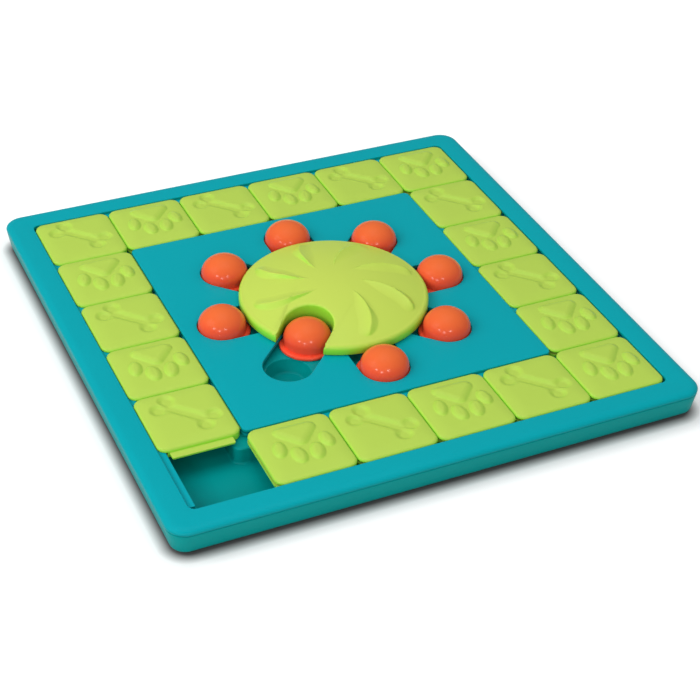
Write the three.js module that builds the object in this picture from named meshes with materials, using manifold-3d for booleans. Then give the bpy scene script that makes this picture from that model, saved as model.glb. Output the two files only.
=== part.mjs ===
// Dog puzzle feeder: a square tray with a ring of sliding tiles over a food trough, and a
// centre deck whose knobs slide in over treat cups when the notch of the wheel faces them.
// Millimetres, +Z up, +X to the right along the front edge, +Y away from it. The origin is on
// the ground, under the middle of the tray.

import * as THREE from "three";
import { mergeVertices } from "three/addons/utils/BufferGeometryUtils.js";
import Module from "manifold-3d";

const wasm = await Module();
wasm.setup();

// Counts of the pattern.
const tilesPerSide = 6;
const tilesAcrossDeck = 4;
const knobCount = 8;
const notchPlace = 5; // the slot that the wheel's notch faces, counted round from the right

// Clearances.
const restGap = 0.3; // between two faces that touch on the real object
const tileGap = 0.5; // between a tile and whatever it slides beside
const knobSideGap = 0.6; // between a knob and the side of its slot
const parkGap = 0.35; // between a parked knob and the rim of the wheel
const overrun = 1; // how far a cutter runs past the face that it cuts
const weldDistance = 0.0001; // corners closer than this are one corner

// Tiles.
const tilePitch = 50;
const tileThickness = 6;
const tileProud = 1; // height of the tile tops over the deck and the frame
const tileCorner = 5;
const tileEdgeRound = 1.2;
const tileWall = 1.6;
const tileRoof = 2.6;
const tongueReach = 5;
const tongueThickness = 1.4;
const tongueInset = 6; // from the tile's side to the end of its tongue
const tongueCorner = 1.5;
const grooveDepth = 5;
const grooveLip = 1.3; // plastic left under a groove
const reliefHeight = 1;
const reliefSlope = 1.2; // width of the sloping side of a paw or a bone

// Base tray.
const footProud = 1;
const footThickness = 1.5;
const footRadius = 8;
const floorThickness = 2;
const troughDepth = 10.7;
const innerLedge = 8.5; // shelf that carries the tiles beside the deck
const outerLedge = 4.25; // shelf that carries the tiles beside the frame
const plateauCorner = 5;
const troughCorner = 6;
const shelfThickness = 2.2;
const trayWall = 2.4;
const trayInset = 0.9; // how far the tray lies back under the frame's edge
const trayDraft = 2.2; // how far its side leans in on the way down
const trayFootRound = 3; // rounding where the side meets the underside
const cupRadius = 13.5;
const cupFloorRadius = 10.5;
const cupDepth = 8.2;
const cupWall = 2;
const wellRadius = 7;
const wellDepth = 3;

// Top frame.
const frameBand = 16.25; // width of the teal band round the tiles
const frameCorner = 12;
const frameLip = 3.3; // height of the frame's side over the parting line
const frameEdgeWidth = 4.5; // the rounding of its top edge, across
const frameEdgeDrop = 2.8; // and down
const fieldCorner = 4; // inside corners of its opening
const framePlate = 2.4;
const frameWall = 2.4;
const railReach = 4.5;
const railEnd = 4; // how far a rail stops short of the corner

// Centre deck.
const deckPlate = 2.5;
const deckCorner = 3.5;
const deckEdgeRound = 0.6;
const deckBackWall = 2; // plastic left behind the deck's grooves
const knobRoom = 0.9; // between a parked knob's flange and the deck's wall
const spokeWidth = 3.1; // deck left between two slots at their inner ends

// Knobs.
const knobRadius = 14.8;
const knobRise = 11.7; // height of the dome over the collar
const knobLip = 2; // how far the flange runs under the deck on each side
const knobWall = 3;

// Wheel.
const wheelRimHeight = 4.2;
const wheelRimRound = 2.2;
const wheelDome = 9.3; // rise from the rim's edge to the middle
const wheelWall = 2.4;
const hubRadius = 9;
const notchEase = 0.7; // how much deeper the notch is than the knob needs
const ridgeStart = 16;
const ridgeEndInset = 6.5; // from the rim to the outer end of a ridge
const ridgeHeight = 2.4;
const ridgeGentleWidth = 8.5; // of the side that leans gently
const ridgeSteepWidth = 5;
const ridgeSink = 0.6; // how far its feet lie in the wheel's wall
const washerRadius = 13;
const washerThickness = 1.6;

// Screws.
const screwRadius = 1.2;
const screwHeadRadius = 2.8;
const screwHeadHeight = 1.6;
const screwBite = 3.4; // how far a screw reaches over the shelf that it passes through
const screwHoleGap = 0.35;
const bossWall = 2.1;
const wheelScrewRadius = 1.7;
const wheelScrewHeadRadius = 4;
const wheelScrewBite = 10;

// Facets.
const cornerSteps = 3;
const footSteps = 2;
const tileCornerSteps = 2;
const knobSides = 20;
const knobRings = 3;
const cupSides = 18;
const wheelSides = 48;
const wheelRings = 4;
const slotSteps = 8;
const smallSides = 8;
const ridgeSteps = 6;

// Heights, from the ground up.
const trayUnder = footProud;
const floorTop = trayUnder + floorThickness;
const ledgeTop = floorTop + troughDepth;
const shelfUnder = ledgeTop - shelfThickness;
const slideLevel = ledgeTop + restGap;
const tileTop = slideLevel + tileThickness;
const deckTop = tileTop - tileProud;
const deckUnder = deckTop - deckPlate;
const tongueLow = slideLevel + grooveLip + restGap;
const tongueHigh = tongueLow + tongueThickness;
const grooveLow = tongueLow - restGap;
const grooveHigh = tongueHigh + restGap;
const frameLow = deckTop - frameLip;
const trayWallTop = frameLow - restGap;
const frameUnder = deckTop - framePlate;

// Places in plan, from the middle out.
const tileSize = tilePitch - tileGap;
const deckHalf = (tilePitch * tilesAcrossDeck - tileGap) / 2;
const fieldHalf = (tilePitch * tilesPerSide + tileGap) / 2;
const frameHalf = fieldHalf + frameBand;
const plateauHalf = deckHalf + innerLedge;
const troughHalf = fieldHalf - outerLedge;
const trayHalf = frameHalf - trayInset;
const cornerPlace = (tilesPerSide - 1) / 2; // the corner tile's place, in pitches
const slotHalf = knobRadius + knobSideGap;
const flangeRadius = slotHalf + knobLip;
const deckWallInner = deckHalf - grooveDepth - deckBackWall;
const knobPark = deckWallInner - knobRoom - flangeRadius;
const knobStep = (2 * Math.PI) / knobCount;
const knobIn = (slotHalf + spokeWidth / 2) / Math.sin(knobStep / 2);
const wheelRadius = knobPark - knobRadius - parkGap;
const wheelLow = deckTop + restGap;
const wheelEdge = wheelLow + wheelRimHeight + wheelRimRound;
const domeRadius = wheelRadius - wheelRimRound;

// Materials.
const teal = new THREE.MeshStandardMaterial({ color: 0x04a0b2, roughness: 0.4, metalness: 0 });
const deepTeal = new THREE.MeshStandardMaterial({ color: 0x068088, roughness: 0.45, metalness: 0 });
const lime = new THREE.MeshStandardMaterial({ color: 0xb2d850, roughness: 0.4, metalness: 0 });
const limeWheel = new THREE.MeshStandardMaterial({ color: 0xc2dc4c, roughness: 0.4, metalness: 0 });
const orange = new THREE.MeshStandardMaterial({ color: 0xf0532f, roughness: 0.35, metalness: 0 });
const rubber = new THREE.MeshStandardMaterial({ color: 0x33383a, roughness: 0.9, metalness: 0 });
const steel = new THREE.MeshStandardMaterial({ color: 0xb9bcc0, roughness: 0.3, metalness: 1 });

// A closed mesh becomes a solid that can be joined and cut.
function solidOf(geometry) {
  const bare = geometry.clone();
  bare.deleteAttribute("normal");
  bare.deleteAttribute("uv");
  const welded = mergeVertices(bare, weldDistance);
  const index = welded.index.array;
  const faces = [];
  for (let i = 0; i < index.length; i += 3) {
    const [a, b, c] = [index[i], index[i + 1], index[i + 2]];
    if (a !== b && b !== c && c !== a) faces.push(a, b, c);
  }
  return new wasm.Manifold(
    new wasm.Mesh({
      numProp: 3,
      vertProperties: new Float32Array(welded.attributes.position.array),
      triVerts: new Uint32Array(faces),
    }),
  );
}

// A solid becomes a mesh geometry again.
function geometryOf(solid) {
  const mesh = solid.getMesh();
  const geometry = new THREE.BufferGeometry();
  geometry.setAttribute("position", new THREE.BufferAttribute(mesh.vertProperties, 3));
  geometry.setIndex(new THREE.BufferAttribute(mesh.triVerts, 1));
  geometry.computeVertexNormals();
  return geometry;
}

// Several solids become one.
function join(solids) {
  return solids.reduce((whole, next) => whole.add(next));
}

// The corners of a rectangle with round corners, anticlockwise, given by its left, right,
// front and back sides. With no corner radius it has four points.
function panelPoints(left, right, front, back, corner, steps) {
  const places = [
    [right - corner, front + corner, -Math.PI / 2],
    [right - corner, back - corner, 0],
    [left + corner, back - corner, Math.PI / 2],
    [left + corner, front + corner, Math.PI],
  ];
  const points = [];
  for (const [x, y, start] of places) {
    for (let i = 0; i <= (corner > 0 ? steps : 0); i += 1) {
      const angle = start + ((Math.PI / 2) * i) / steps;
      points.push(new THREE.Vector2(x + corner * Math.cos(angle), y + corner * Math.sin(angle)));
    }
  }
  return points;
}

function panel(left, right, front, back, corner = 0, steps = cornerSteps) {
  return new THREE.Shape(panelPoints(left, right, front, back, corner, steps));
}

// A square of the given half width, centred on the origin.
function square(half, corner = 0) {
  return panel(-half, half, -half, half, corner);
}

// An upright prism of a shape.
function prism(shape, low, high) {
  const geometry = new THREE.ExtrudeGeometry(shape, { depth: high - low, bevelEnabled: false });
  return solidOf(geometry.translate(0, 0, low));
}

// A body through a stack of rounded squares, each given by its half width, its corner radius
// and its height, from the lowest up.
function stack(levels, steps = cornerSteps) {
  const positions = [];
  const faces = [];
  const count = 4 * (steps + 1);
  for (const [half, corner, z] of levels) {
    for (const { x, y } of panelPoints(-half, half, -half, half, corner, steps)) positions.push(x, y, z);
  }
  for (let level = 0; level + 1 < levels.length; level += 1) {
    for (let i = 0; i < count; i += 1) {
      const next = (i + 1) % count;
      const [a, b] = [level * count + i, level * count + next];
      faces.push(a, b, b + count, a, b + count, a + count);
    }
  }
  const top = (levels.length - 1) * count;
  for (let i = 1; i + 1 < count; i += 1) {
    faces.push(0, i + 1, i, top, top + i, top + i + 1);
  }
  const geometry = new THREE.BufferGeometry();
  geometry.setAttribute("position", new THREE.Float32BufferAttribute(positions, 3));
  geometry.setIndex(faces);
  return solidOf(geometry);
}

// The levels of a rounded upper edge: `across` wide and `drop` high, below `high`.
function edgeLevels(half, corner, high, across, drop, steps) {
  const levels = [];
  for (let i = 0; i <= steps; i += 1) {
    const turn = (Math.PI / 2) * (i / steps);
    const inset = across * (1 - Math.cos(turn));
    levels.push([half - inset, corner - inset, high - drop * (1 - Math.sin(turn))]);
  }
  return levels;
}

// A solid of revolution about Z. The profile runs up its outside from the axis to the axis.
function turned(profile, sides) {
  const points = profile.map(([radius, height]) => new THREE.Vector2(radius, height));
  return solidOf(new THREE.LatheGeometry(points, sides).rotateX(Math.PI / 2));
}

// An upright cylinder.
function post(radius, low, high, sides = smallSides) {
  return turned([[0, low], [radius, low], [radius, high], [0, high]], sides);
}

// A slot's outline: straight sides between two half circles, from one radius out to another.
function slotShape(inner, outer, half) {
  const step = Math.PI / slotSteps;
  const reach = half / Math.cos(step / 2);
  const points = [];
  for (const [middle, start] of [[outer, -Math.PI / 2], [inner, Math.PI / 2]]) {
    for (let i = 0; i < slotSteps; i += 1) {
      const angle = start + step * (i + 1 / 2);
      points.push(new THREE.Vector2(middle + reach * Math.cos(angle), reach * Math.sin(angle)));
    }
  }
  return new THREE.Shape(points);
}

// A solid turned about Z by an angle in radians.
function turnedBy(solid, angle) {
  return solid.rotate([0, 0, THREE.MathUtils.radToDeg(angle)]);
}

// Screw places: along the middle of each side of the band, and near the deck's corners.
const pilotRadius = screwRadius + screwHoleGap;
const screwHeadLow = shelfUnder - restGap - screwHeadHeight;
const frameScrewLine = trayHalfAt(screwHeadLow) - trayWall - restGap - screwHeadRadius;
const frameScrewSpread = tilePitch * 2;
const frameScrewPlaces = [-1, 1].flatMap((side) =>
  [-1, 1].flatMap((along) => [
    [side * frameScrewLine, along * frameScrewSpread],
    [along * frameScrewSpread, side * frameScrewLine],
  ]),
);
const deckScrewLine = deckWallInner - bossWall - screwRadius;
const deckScrewPlaces = [-1, 1].flatMap((x) => [-1, 1].map((y) => [x * deckScrewLine, y * deckScrewLine]));
const footLine = (plateauHalf + troughHalf) / 2;
const footPlaces = {
  front_left: [-footLine, -footLine],
  front_right: [footLine, -footLine],
  back_left: [-footLine, footLine],
  back_right: [footLine, footLine],
};

// The half width of the tray's outside at a height.
function trayHalfAt(height) {
  return trayHalf - (trayDraft * (trayWallTop - height)) / (trayWallTop - trayUnder);
}

// The tray's outside: a side that leans in on the way down to a rounded foot.
function trayBlock() {
  const corner = frameCorner - trayInset;
  const levels = [];
  for (let i = 0; i <= footSteps; i += 1) {
    const turn = (Math.PI / 2) * (i / footSteps);
    const height = trayUnder + trayFootRound * (1 - Math.cos(turn));
    const half = trayHalfAt(height) - trayFootRound * (1 - Math.sin(turn));
    levels.push([half, corner - (trayHalf - half), height]);
  }
  levels.push([trayHalf, corner, trayWallTop]);
  return stack(levels);
}

// The room inside the tray's side, between two heights, with a wall of the given thickness.
function sideRoom(wall, low, high) {
  const levels = [low, high].map((height) => {
    const half = trayHalfAt(height) - wall;
    return [half, frameCorner - trayInset - (trayHalf - half), height];
  });
  return stack(levels, 1);
}

function baseTray() {
  let tray = trayBlock();
  const cupPlaces = [];
  for (let i = 0; i < knobCount; i += 1) {
    cupPlaces.push([knobPark * Math.cos(i * knobStep), knobPark * Math.sin(i * knobStep)]);
  }

  // The room for the frame and the tiles over the shelves, and the trough between them.
  tray = tray.subtract(sideRoom(trayWall, ledgeTop, trayWallTop + overrun));
  const trough = prism(square(troughHalf, troughCorner), floorTop, ledgeTop + overrun);
  const plateau = prism(square(plateauHalf, plateauCorner), floorTop - overrun, ledgeTop + 2 * overrun);
  tray = tray.subtract(trough.subtract(plateau));

  // The outer band and the plateau are hollow from below.
  const footTop = trayUnder + trayFootRound;
  const bandRoom = sideRoom(trayWall, footTop - weldDistance, shelfUnder);
  const footRoom = sideRoom(trayWall + trayFootRound, trayUnder - overrun, footTop);
  const bandCore = prism(square(troughHalf + shelfThickness), trayUnder - 2 * overrun, ledgeTop);
  tray = tray.subtract(bandRoom.add(footRoom).subtract(bandCore));
  let under = prism(square(plateauHalf - shelfThickness, plateauCorner), trayUnder - overrun, shelfUnder);
  const cupOuter = turned(
    [
      [0, ledgeTop - cupDepth - cupWall],
      [cupFloorRadius + cupWall, ledgeTop - cupDepth - cupWall],
      [cupRadius + cupWall, ledgeTop],
      [0, ledgeTop],
    ],
    cupSides,
  );
  for (const [x, y] of cupPlaces) under = under.subtract(cupOuter.translate([x, y, 0]));
  under = under.subtract(post(wellRadius + cupWall, ledgeTop - wellDepth - cupWall, ledgeTop, cupSides));
  tray = tray.subtract(under);

  // Treat cups, and the well under the wheel's screw.
  const cup = turned(
    [
      [0, ledgeTop - cupDepth],
      [cupFloorRadius, ledgeTop - cupDepth],
      [cupRadius, ledgeTop],
      [cupRadius, ledgeTop + overrun],
      [0, ledgeTop + overrun],
    ],
    cupSides,
  );
  for (const [x, y] of cupPlaces) tray = tray.subtract(cup.translate([x, y, 0]));
  tray = tray.subtract(post(wellRadius, ledgeTop - wellDepth, ledgeTop + overrun, cupSides));

  // Screw holes and the pockets for the feet.
  const hole = post(screwRadius + screwHoleGap, shelfUnder - overrun, ledgeTop + overrun);
  for (const [x, y] of [...frameScrewPlaces, ...deckScrewPlaces]) {
    tray = tray.subtract(hole.translate([x, y, 0]));
  }
  const pocket = post(footRadius + restGap, trayUnder - overrun, footThickness + restGap, cupSides);
  for (const [x, y] of Object.values(footPlaces)) tray = tray.subtract(pocket.translate([x, y, 0]));
  return tray;
}

// A boss with a blind hole for a screw, hanging from a plate down to the shelf.
function screwBoss(plate) {
  return post(screwRadius + bossWall, slideLevel, plate + overrun / 2);
}

function screwPilot() {
  return post(screwRadius + screwHoleGap, slideLevel - overrun, ledgeTop + screwBite + restGap);
}

function topFrame() {
  const edge = edgeLevels(frameHalf, frameCorner, deckTop, frameEdgeWidth, frameEdgeDrop, cornerSteps);
  const outer = stack([[frameHalf, frameCorner, frameLow], ...edge]);
  // The band is a channel, open below, between its outer wall and the wall beside the tiles.
  const thick = fieldHalf + grooveDepth + frameWall;
  const thin = fieldHalf + frameWall;
  const wallSquare = panel(-thin, thick, -thick, thin);
  const wall = prism(wallSquare, slideLevel, frameUnder + overrun / 2);
  const channel = prism(square(frameHalf - frameWall, frameCorner - frameWall), 0, frameUnder);
  let frame = outer.subtract(channel).add(wall);
  for (const [x, y] of frameScrewPlaces) frame = frame.add(screwBoss(frameUnder).translate([x, y, 0]));

  // The opening, the grooves in the front and right walls, and the rails on the other two.
  frame = frame.subtract(prism(square(fieldHalf, fieldCorner), 0, deckTop + overrun));
  const inside = fieldHalf - overrun;
  const reach = fieldHalf + grooveDepth;
  frame = frame.subtract(prism(panel(-inside, reach, -reach, inside), grooveLow, grooveHigh));
  const railLow = -fieldHalf + railEnd;
  const railHigh = fieldHalf - railEnd;
  const root = fieldHalf + overrun;
  const railTip = fieldHalf - railReach;
  frame = frame.add(prism(panel(-root, -railTip, railLow, railHigh), tongueLow, tongueHigh));
  frame = frame.add(prism(panel(railLow, railHigh, railTip, root), tongueLow, tongueHigh));
  for (const [x, y] of frameScrewPlaces) frame = frame.subtract(screwPilot().translate([x, y, 0]));
  return frame;
}

function centreDeck() {
  const edge = edgeLevels(deckHalf, deckCorner, deckTop, deckEdgeRound, deckEdgeRound, 1);
  let deck = stack([[deckHalf, deckCorner, slideLevel], ...edge]);
  deck = deck.subtract(prism(square(deckWallInner), slideLevel - overrun, deckUnder));
  for (const [x, y] of deckScrewPlaces) deck = deck.add(screwBoss(deckUnder).translate([x, y, 0]));

  // Tongues of the left and back tiles run in these grooves; the other two sides have rails.
  const groove = deckHalf - grooveDepth;
  const beyond = deckHalf + overrun;
  const left = panel(-beyond, -groove, -beyond, beyond);
  const back = panel(-beyond, beyond, groove, beyond);
  deck = deck.subtract(prism(left, grooveLow, grooveHigh));
  deck = deck.subtract(prism(back, grooveLow, grooveHigh));
  const run = deckHalf - grooveDepth;
  const tip = deckHalf + railReach;
  const root = deckHalf - overrun;
  deck = deck.add(prism(panel(root, tip, -run, run), tongueLow, tongueHigh));
  deck = deck.add(prism(panel(-run, run, -tip, -root), tongueLow, tongueHigh));

  const slot = prism(slotShape(knobIn - restGap, knobPark, slotHalf), 0, deckTop + overrun);
  for (let i = 0; i < knobCount; i += 1) deck = deck.subtract(turnedBy(slot, i * knobStep));
  deck = deck.subtract(post(hubRadius + knobSideGap, 0, deckTop + overrun, cupSides));
  for (const [x, y] of deckScrewPlaces) deck = deck.subtract(screwPilot().translate([x, y, 0]));
  return deck;
}

// The paw's pad and toes, and the bone, as shares of the tile pitch.
const pawPadShares = [
  [-0.17, 0.36],
  [0.18, 0.36],
  [0.26, 0.28],
  [0.18, 0.12],
  [0.07, 0.02],
  [-0.02, 0.02],
  [-0.13, 0.13],
  [-0.22, 0.27],
];
const pawToeShares = [
  [-0.26, 0.02, -0.2],
  [-0.09, -0.14, 0],
  [0.13, -0.14, -0.2],
  [0.31, 0.01, 0.1],
];
const toeWidthShare = 0.085;
const toeLengthShare = 0.14;
const toeSides = 6;
const boneShares = { x: 0.015, y: 0.05, reach: 0.3, spread: 0.095, lobe: 0.115, shaft: 0.095 };
const boneSides = 8;

function toeShape([xShare, yShare, tilt]) {
  const points = [];
  for (let i = 0; i < toeSides; i += 1) {
    const angle = (2 * Math.PI * i) / toeSides;
    const across = toeWidthShare * Math.cos(angle);
    const along = toeLengthShare * Math.sin(angle);
    const x = xShare + across * Math.cos(tilt) - along * Math.sin(tilt);
    const y = yShare + across * Math.sin(tilt) + along * Math.cos(tilt);
    points.push(new THREE.Vector2(x, y).multiplyScalar(tilePitch));
  }
  return new THREE.Shape(points);
}

// A raised mound over the tile's top, with a sloping side.
function mound(shape) {
  const top = tileTop + reliefHeight;
  const geometry = new THREE.ExtrudeGeometry(shape, {
    depth: reliefHeight,
    bevelEnabled: true,
    bevelThickness: reliefHeight,
    bevelSize: reliefSlope,
    bevelOffset: -reliefSlope,
    bevelSegments: 1,
  });
  return solidOf(geometry.translate(0, 0, top - 2 * reliefHeight));
}

function pawRelief() {
  const points = pawPadShares.map(([x, y]) => new THREE.Vector2(x, y).multiplyScalar(tilePitch));
  return join([mound(new THREE.Shape(points)), ...pawToeShares.map((toe) => mound(toeShape(toe)))]);
}

function boneHollow() {
  const at = (share) => share * tilePitch;
  const low = tileTop - reliefHeight;
  const high = tileTop + overrun;
  const reach = at(boneShares.reach);
  const shaft = panel(-reach, reach, -at(boneShares.shaft), at(boneShares.shaft));
  const lobe = post(at(boneShares.lobe), low, high, boneSides);
  const spread = at(boneShares.spread);
  const ends = [[-1, -1], [-1, 1], [1, -1], [1, 1]];
  const lobes = ends.map(([end, side]) => lobe.translate([end * reach, side * spread, 0]));
  const bone = turnedBy(join([prism(shaft, low, high), ...lobes]), -Math.PI / 4);
  return bone.translate([at(boneShares.x), at(boneShares.y), 0]);
}

// A tile, centred on its own place: grooves on its left and back, tongues on its right and
// front, hollow below.
function tileSolid(relief) {
  const half = tileSize / 2;
  const edge = edgeLevels(half, tileCorner, tileTop, tileEdgeRound, tileEdgeRound, 1);
  let tile = stack([[half, tileCorner, slideLevel], ...edge], tileCornerSteps);
  const beyond = half + overrun;
  const grooveEnd = half - grooveDepth;
  tile = tile.subtract(prism(panel(-beyond, -grooveEnd, -beyond, beyond), grooveLow, grooveHigh));
  tile = tile.subtract(prism(panel(-beyond, beyond, grooveEnd, beyond), grooveLow, grooveHigh));
  const tip = half + tongueReach;
  const end = half - tongueInset;
  const root = half - tileWall;
  const front = panel(-end, end, -tip, -root, tongueCorner, 1);
  const right = panel(root, tip, -end, end, tongueCorner, 1);
  tile = tile.add(prism(front, tongueLow, tongueHigh)).add(prism(right, tongueLow, tongueHigh));

  // Four pockets below, with a rib each way between them.
  const far = grooveEnd - tileWall;
  const middle = (root - far) / 2;
  const ribHalf = tileWall / 2;
  for (const [left, right] of [[-far, middle - ribHalf], [middle + ribHalf, root]]) {
    for (const [low, high] of [[-root, -middle - ribHalf], [ribHalf - middle, far]]) {
      const pocket = panel(left, right, low, high);
      tile = tile.subtract(prism(pocket, slideLevel - overrun, tileTop - tileRoof));
    }
  }
  return relief === "paw" ? tile.add(pawRelief()) : tile.subtract(boneHollow());
}

// A knob, centred on its own axis: a dome and collar over a flange that the deck holds down.
function knobSolid() {
  const collarTop = deckTop + restGap;
  const flangeTop = deckUnder - restGap;
  const profile = [
    [knobRadius - knobWall, slideLevel],
    [flangeRadius, slideLevel],
    [flangeRadius, flangeTop],
    [knobRadius, flangeTop],
    [knobRadius, collarTop],
  ];
  for (let i = 1; i < knobRings; i += 1) {
    const rise = (Math.PI / 2) * (i / knobRings);
    profile.push([knobRadius * Math.cos(rise), collarTop + knobRise * Math.sin(rise)]);
  }
  profile.push([0, collarTop + knobRise]);
  profile.push([0, collarTop + knobRise - knobWall]);
  profile.push([(knobRadius - knobWall) / 2, collarTop + (knobRise - knobWall) / 2]);
  profile.push([knobRadius - knobWall, collarTop]);
  profile.push([knobRadius - knobWall, slideLevel]);
  return turned(profile, knobSides);
}

// The dome's height at a radius.
function domeAt(radius) {
  return wheelEdge + wheelDome * (1 - (radius / domeRadius) ** 2);
}

// The wheel's upper face, or one that runs a way below it, from a radius in to the middle.
function domeRows(radius, below) {
  const rows = [];
  for (let i = wheelRings; i >= 0; i -= 1) {
    const away = (radius * i) / wheelRings;
    rows.push([away, domeAt(away) - below]);
  }
  return rows;
}

// The wheel's outside, filled.
function domeBlock() {
  const round = wheelRimRound * (1 - Math.SQRT1_2);
  const rim = [
    [0, wheelLow],
    [wheelRadius, wheelLow],
    [wheelRadius, wheelLow + wheelRimHeight],
    [wheelRadius - round, wheelEdge - round],
  ];
  return turned([...rim, ...domeRows(domeRadius, 0)], wheelSides);
}

// The crest of a curved ridge follows a spiral: its angle falls behind as the radius grows, and
// faster past the radius of its zero angle.
const crestLeanPerPitch = THREE.MathUtils.degToRad(27);
const crestCurlPerPitch = THREE.MathUtils.degToRad(24);
const crestZeroAngle = THREE.MathUtils.degToRad(12.3);
const crestZeroShare = 0.7; // the radius at that angle, as a share of the tile pitch

function crestAngle(radius) {
  const past = radius / tilePitch - crestZeroShare;
  return crestZeroAngle - crestLeanPerPitch * past - crestCurlPerPitch * Math.max(past, 0) ** 2;
}

// One ridge: a gentle side and a steep side that meet at the crest, and a keel in the wheel's
// wall. Its cross-section swells from a point at the inner end and closes again at the outer.
function ridgeSolid() {
  const ridgeEnd = wheelRadius - ridgeEndInset;
  const positions = [];
  const faces = [];
  for (let i = 0; i <= ridgeSteps; i += 1) {
    const along = i / ridgeSteps;
    const radius = ridgeStart + (ridgeEnd - ridgeStart) * along;
    const angle = crestAngle(radius);
    const swell = i < ridgeSteps ? Math.sin(Math.PI * along ** 2) : 0;
    const foot = domeAt(radius) - ridgeSink;
    const corners = [
      [angle, foot + (ridgeHeight + ridgeSink) * swell],
      [angle - (ridgeGentleWidth * swell) / radius, foot],
      [angle, foot - ridgeSink * swell],
      [angle + (ridgeSteepWidth * swell) / radius, foot],
    ];
    for (const [turn, height] of corners) {
      positions.push(radius * Math.cos(turn), radius * Math.sin(turn), height);
    }
    for (let side = 0; side < 4 && i < ridgeSteps; side += 1) {
      const [a, b] = [4 * i + side, 4 * i + ((side + 1) % 4)];
      faces.push(a, b, b + 4, a, b + 4, a + 4);
    }
  }
  const geometry = new THREE.BufferGeometry();
  geometry.setAttribute("position", new THREE.Float32BufferAttribute(positions, 3));
  geometry.setIndex(faces);
  return solidOf(geometry);
}

function swirlWheel() {
  const low = wheelLow - overrun;
  const high = wheelEdge + wheelDome + overrun;
  const filled = domeBlock();
  // The room under the dome follows its face, one wall thickness down.
  const roomRadius = wheelRadius - wheelWall;
  const room = turned([[0, low], [roomRadius, low], ...domeRows(roomRadius, wheelWall)], wheelSides);
  let wheel = filled.subtract(room);
  wheel = wheel.add(post(hubRadius, deckUnder, wheelEdge + wheelDome - wheelWall / 2, cupSides));

  // Curved ridges, one for each knob, but none where the notch is.
  const ridge = ridgeSolid();
  for (let i = 0; i < knobCount; i += 1) {
    if (i !== notchPlace) wheel = wheel.add(turnedBy(ridge, i * knobStep));
  }

  // The notch has its own wall, so that the hollow under the dome doesn't show in it.
  const notchIn = knobIn - notchEase;
  const notchOut = wheelRadius * 2;
  const notchWall = prism(slotShape(notchIn, notchOut, slotHalf + wheelWall), low, high);
  const notch = prism(slotShape(notchIn, notchOut, slotHalf), low, high);
  const notchAngle = knobStep * notchPlace;
  wheel = wheel.add(turnedBy(notchWall, notchAngle).intersect(filled));
  wheel = wheel.subtract(turnedBy(notch, notchAngle));
  const pilotTop = deckUnder + wheelScrewBite + restGap;
  const pilot = post(wheelScrewRadius + screwHoleGap, deckUnder - overrun, pilotTop);
  return wheel.subtract(pilot);
}

function washerSolid() {
  const high = deckUnder - restGap;
  const low = high - washerThickness;
  const hole = post(wheelScrewRadius + screwHoleGap, low - overrun, high + overrun);
  return post(washerRadius, low, high, cupSides).subtract(hole);
}

// A screw with its head down, its upper end at `tip` and its head's bearing face at `seat`.
function screwSolid(radius, headRadius, headHeight, seat, tip) {
  const profile = [[0, seat - headHeight], [headRadius, seat - headHeight], [headRadius, seat]];
  return turned([...profile, [radius, seat], [radius, tip], [0, tip]], smallSides);
}

// The model.
const feeder = new THREE.Group();

function place(name, geometry, material, x = 0, y = 0, parent = feeder) {
  const mesh = new THREE.Mesh(geometry, material);
  mesh.name = name;
  mesh.position.set(x, y, 0);
  parent.add(mesh);
}

place("base_tray", geometryOf(baseTray()), deepTeal);
place("top_frame", geometryOf(topFrame()), teal);
place("centre_deck", geometryOf(centreDeck()), teal);
place("swirl_wheel", geometryOf(swirlWheel()), limeWheel);
place("wheel_retainer", geometryOf(washerSolid()), steel);
const wheelSeat = deckUnder - restGap - washerThickness - restGap;
const wheelTip = deckUnder + wheelScrewBite;
const wheelScrew = screwSolid(wheelScrewRadius, wheelScrewHeadRadius, screwHeadHeight, wheelSeat, wheelTip);
place("wheel_screw", geometryOf(wheelScrew), steel);

// Knobs, each in a group turned to its slot. The one that faces the notch is moved in.
const knobGeometry = geometryOf(knobSolid());
const knobNames = ["right", "back_right", "back", "back_left", "left", "front_left", "front", "front_right"];
for (const [i, name] of knobNames.entries()) {
  const slot = new THREE.Group();
  slot.rotation.z = i * knobStep;
  feeder.add(slot);
  place("knob_" + name, knobGeometry, orange, i === notchPlace ? knobIn : knobPark, 0, slot);
}

// Tiles, row by row from the empty front left corner. Each row names its reliefs in order,
// its first place, in pitches, and the step to the next.
const tileGeometry = { paw: geometryOf(tileSolid("paw")), bone: geometryOf(tileSolid("bone")) };
const pawFirst = ["paw", "bone", "paw", "bone", "paw"];
const boneFirst = ["bone", "paw", "bone", "paw", "bone"];
const near = 1 - cornerPlace;
const tileRows = {
  left: { reliefs: boneFirst, first: [-cornerPlace, near], step: [0, 1] },
  back: { reliefs: pawFirst, first: [near, cornerPlace], step: [1, 0] },
  right: { reliefs: boneFirst.slice(0, tilesAcrossDeck), first: [cornerPlace, -near], step: [0, -1] },
  front: { reliefs: pawFirst, first: [near, -cornerPlace], step: [1, 0] },
};
for (const [row, { reliefs, first, step }] of Object.entries(tileRows)) {
  for (const [i, relief] of reliefs.entries()) {
    const x = (first[0] + i * step[0]) * tilePitch;
    const y = (first[1] + i * step[1]) * tilePitch;
    place(`tile_${row}_${i + 1}`, tileGeometry[relief], lime, x, y);
  }
}

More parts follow.
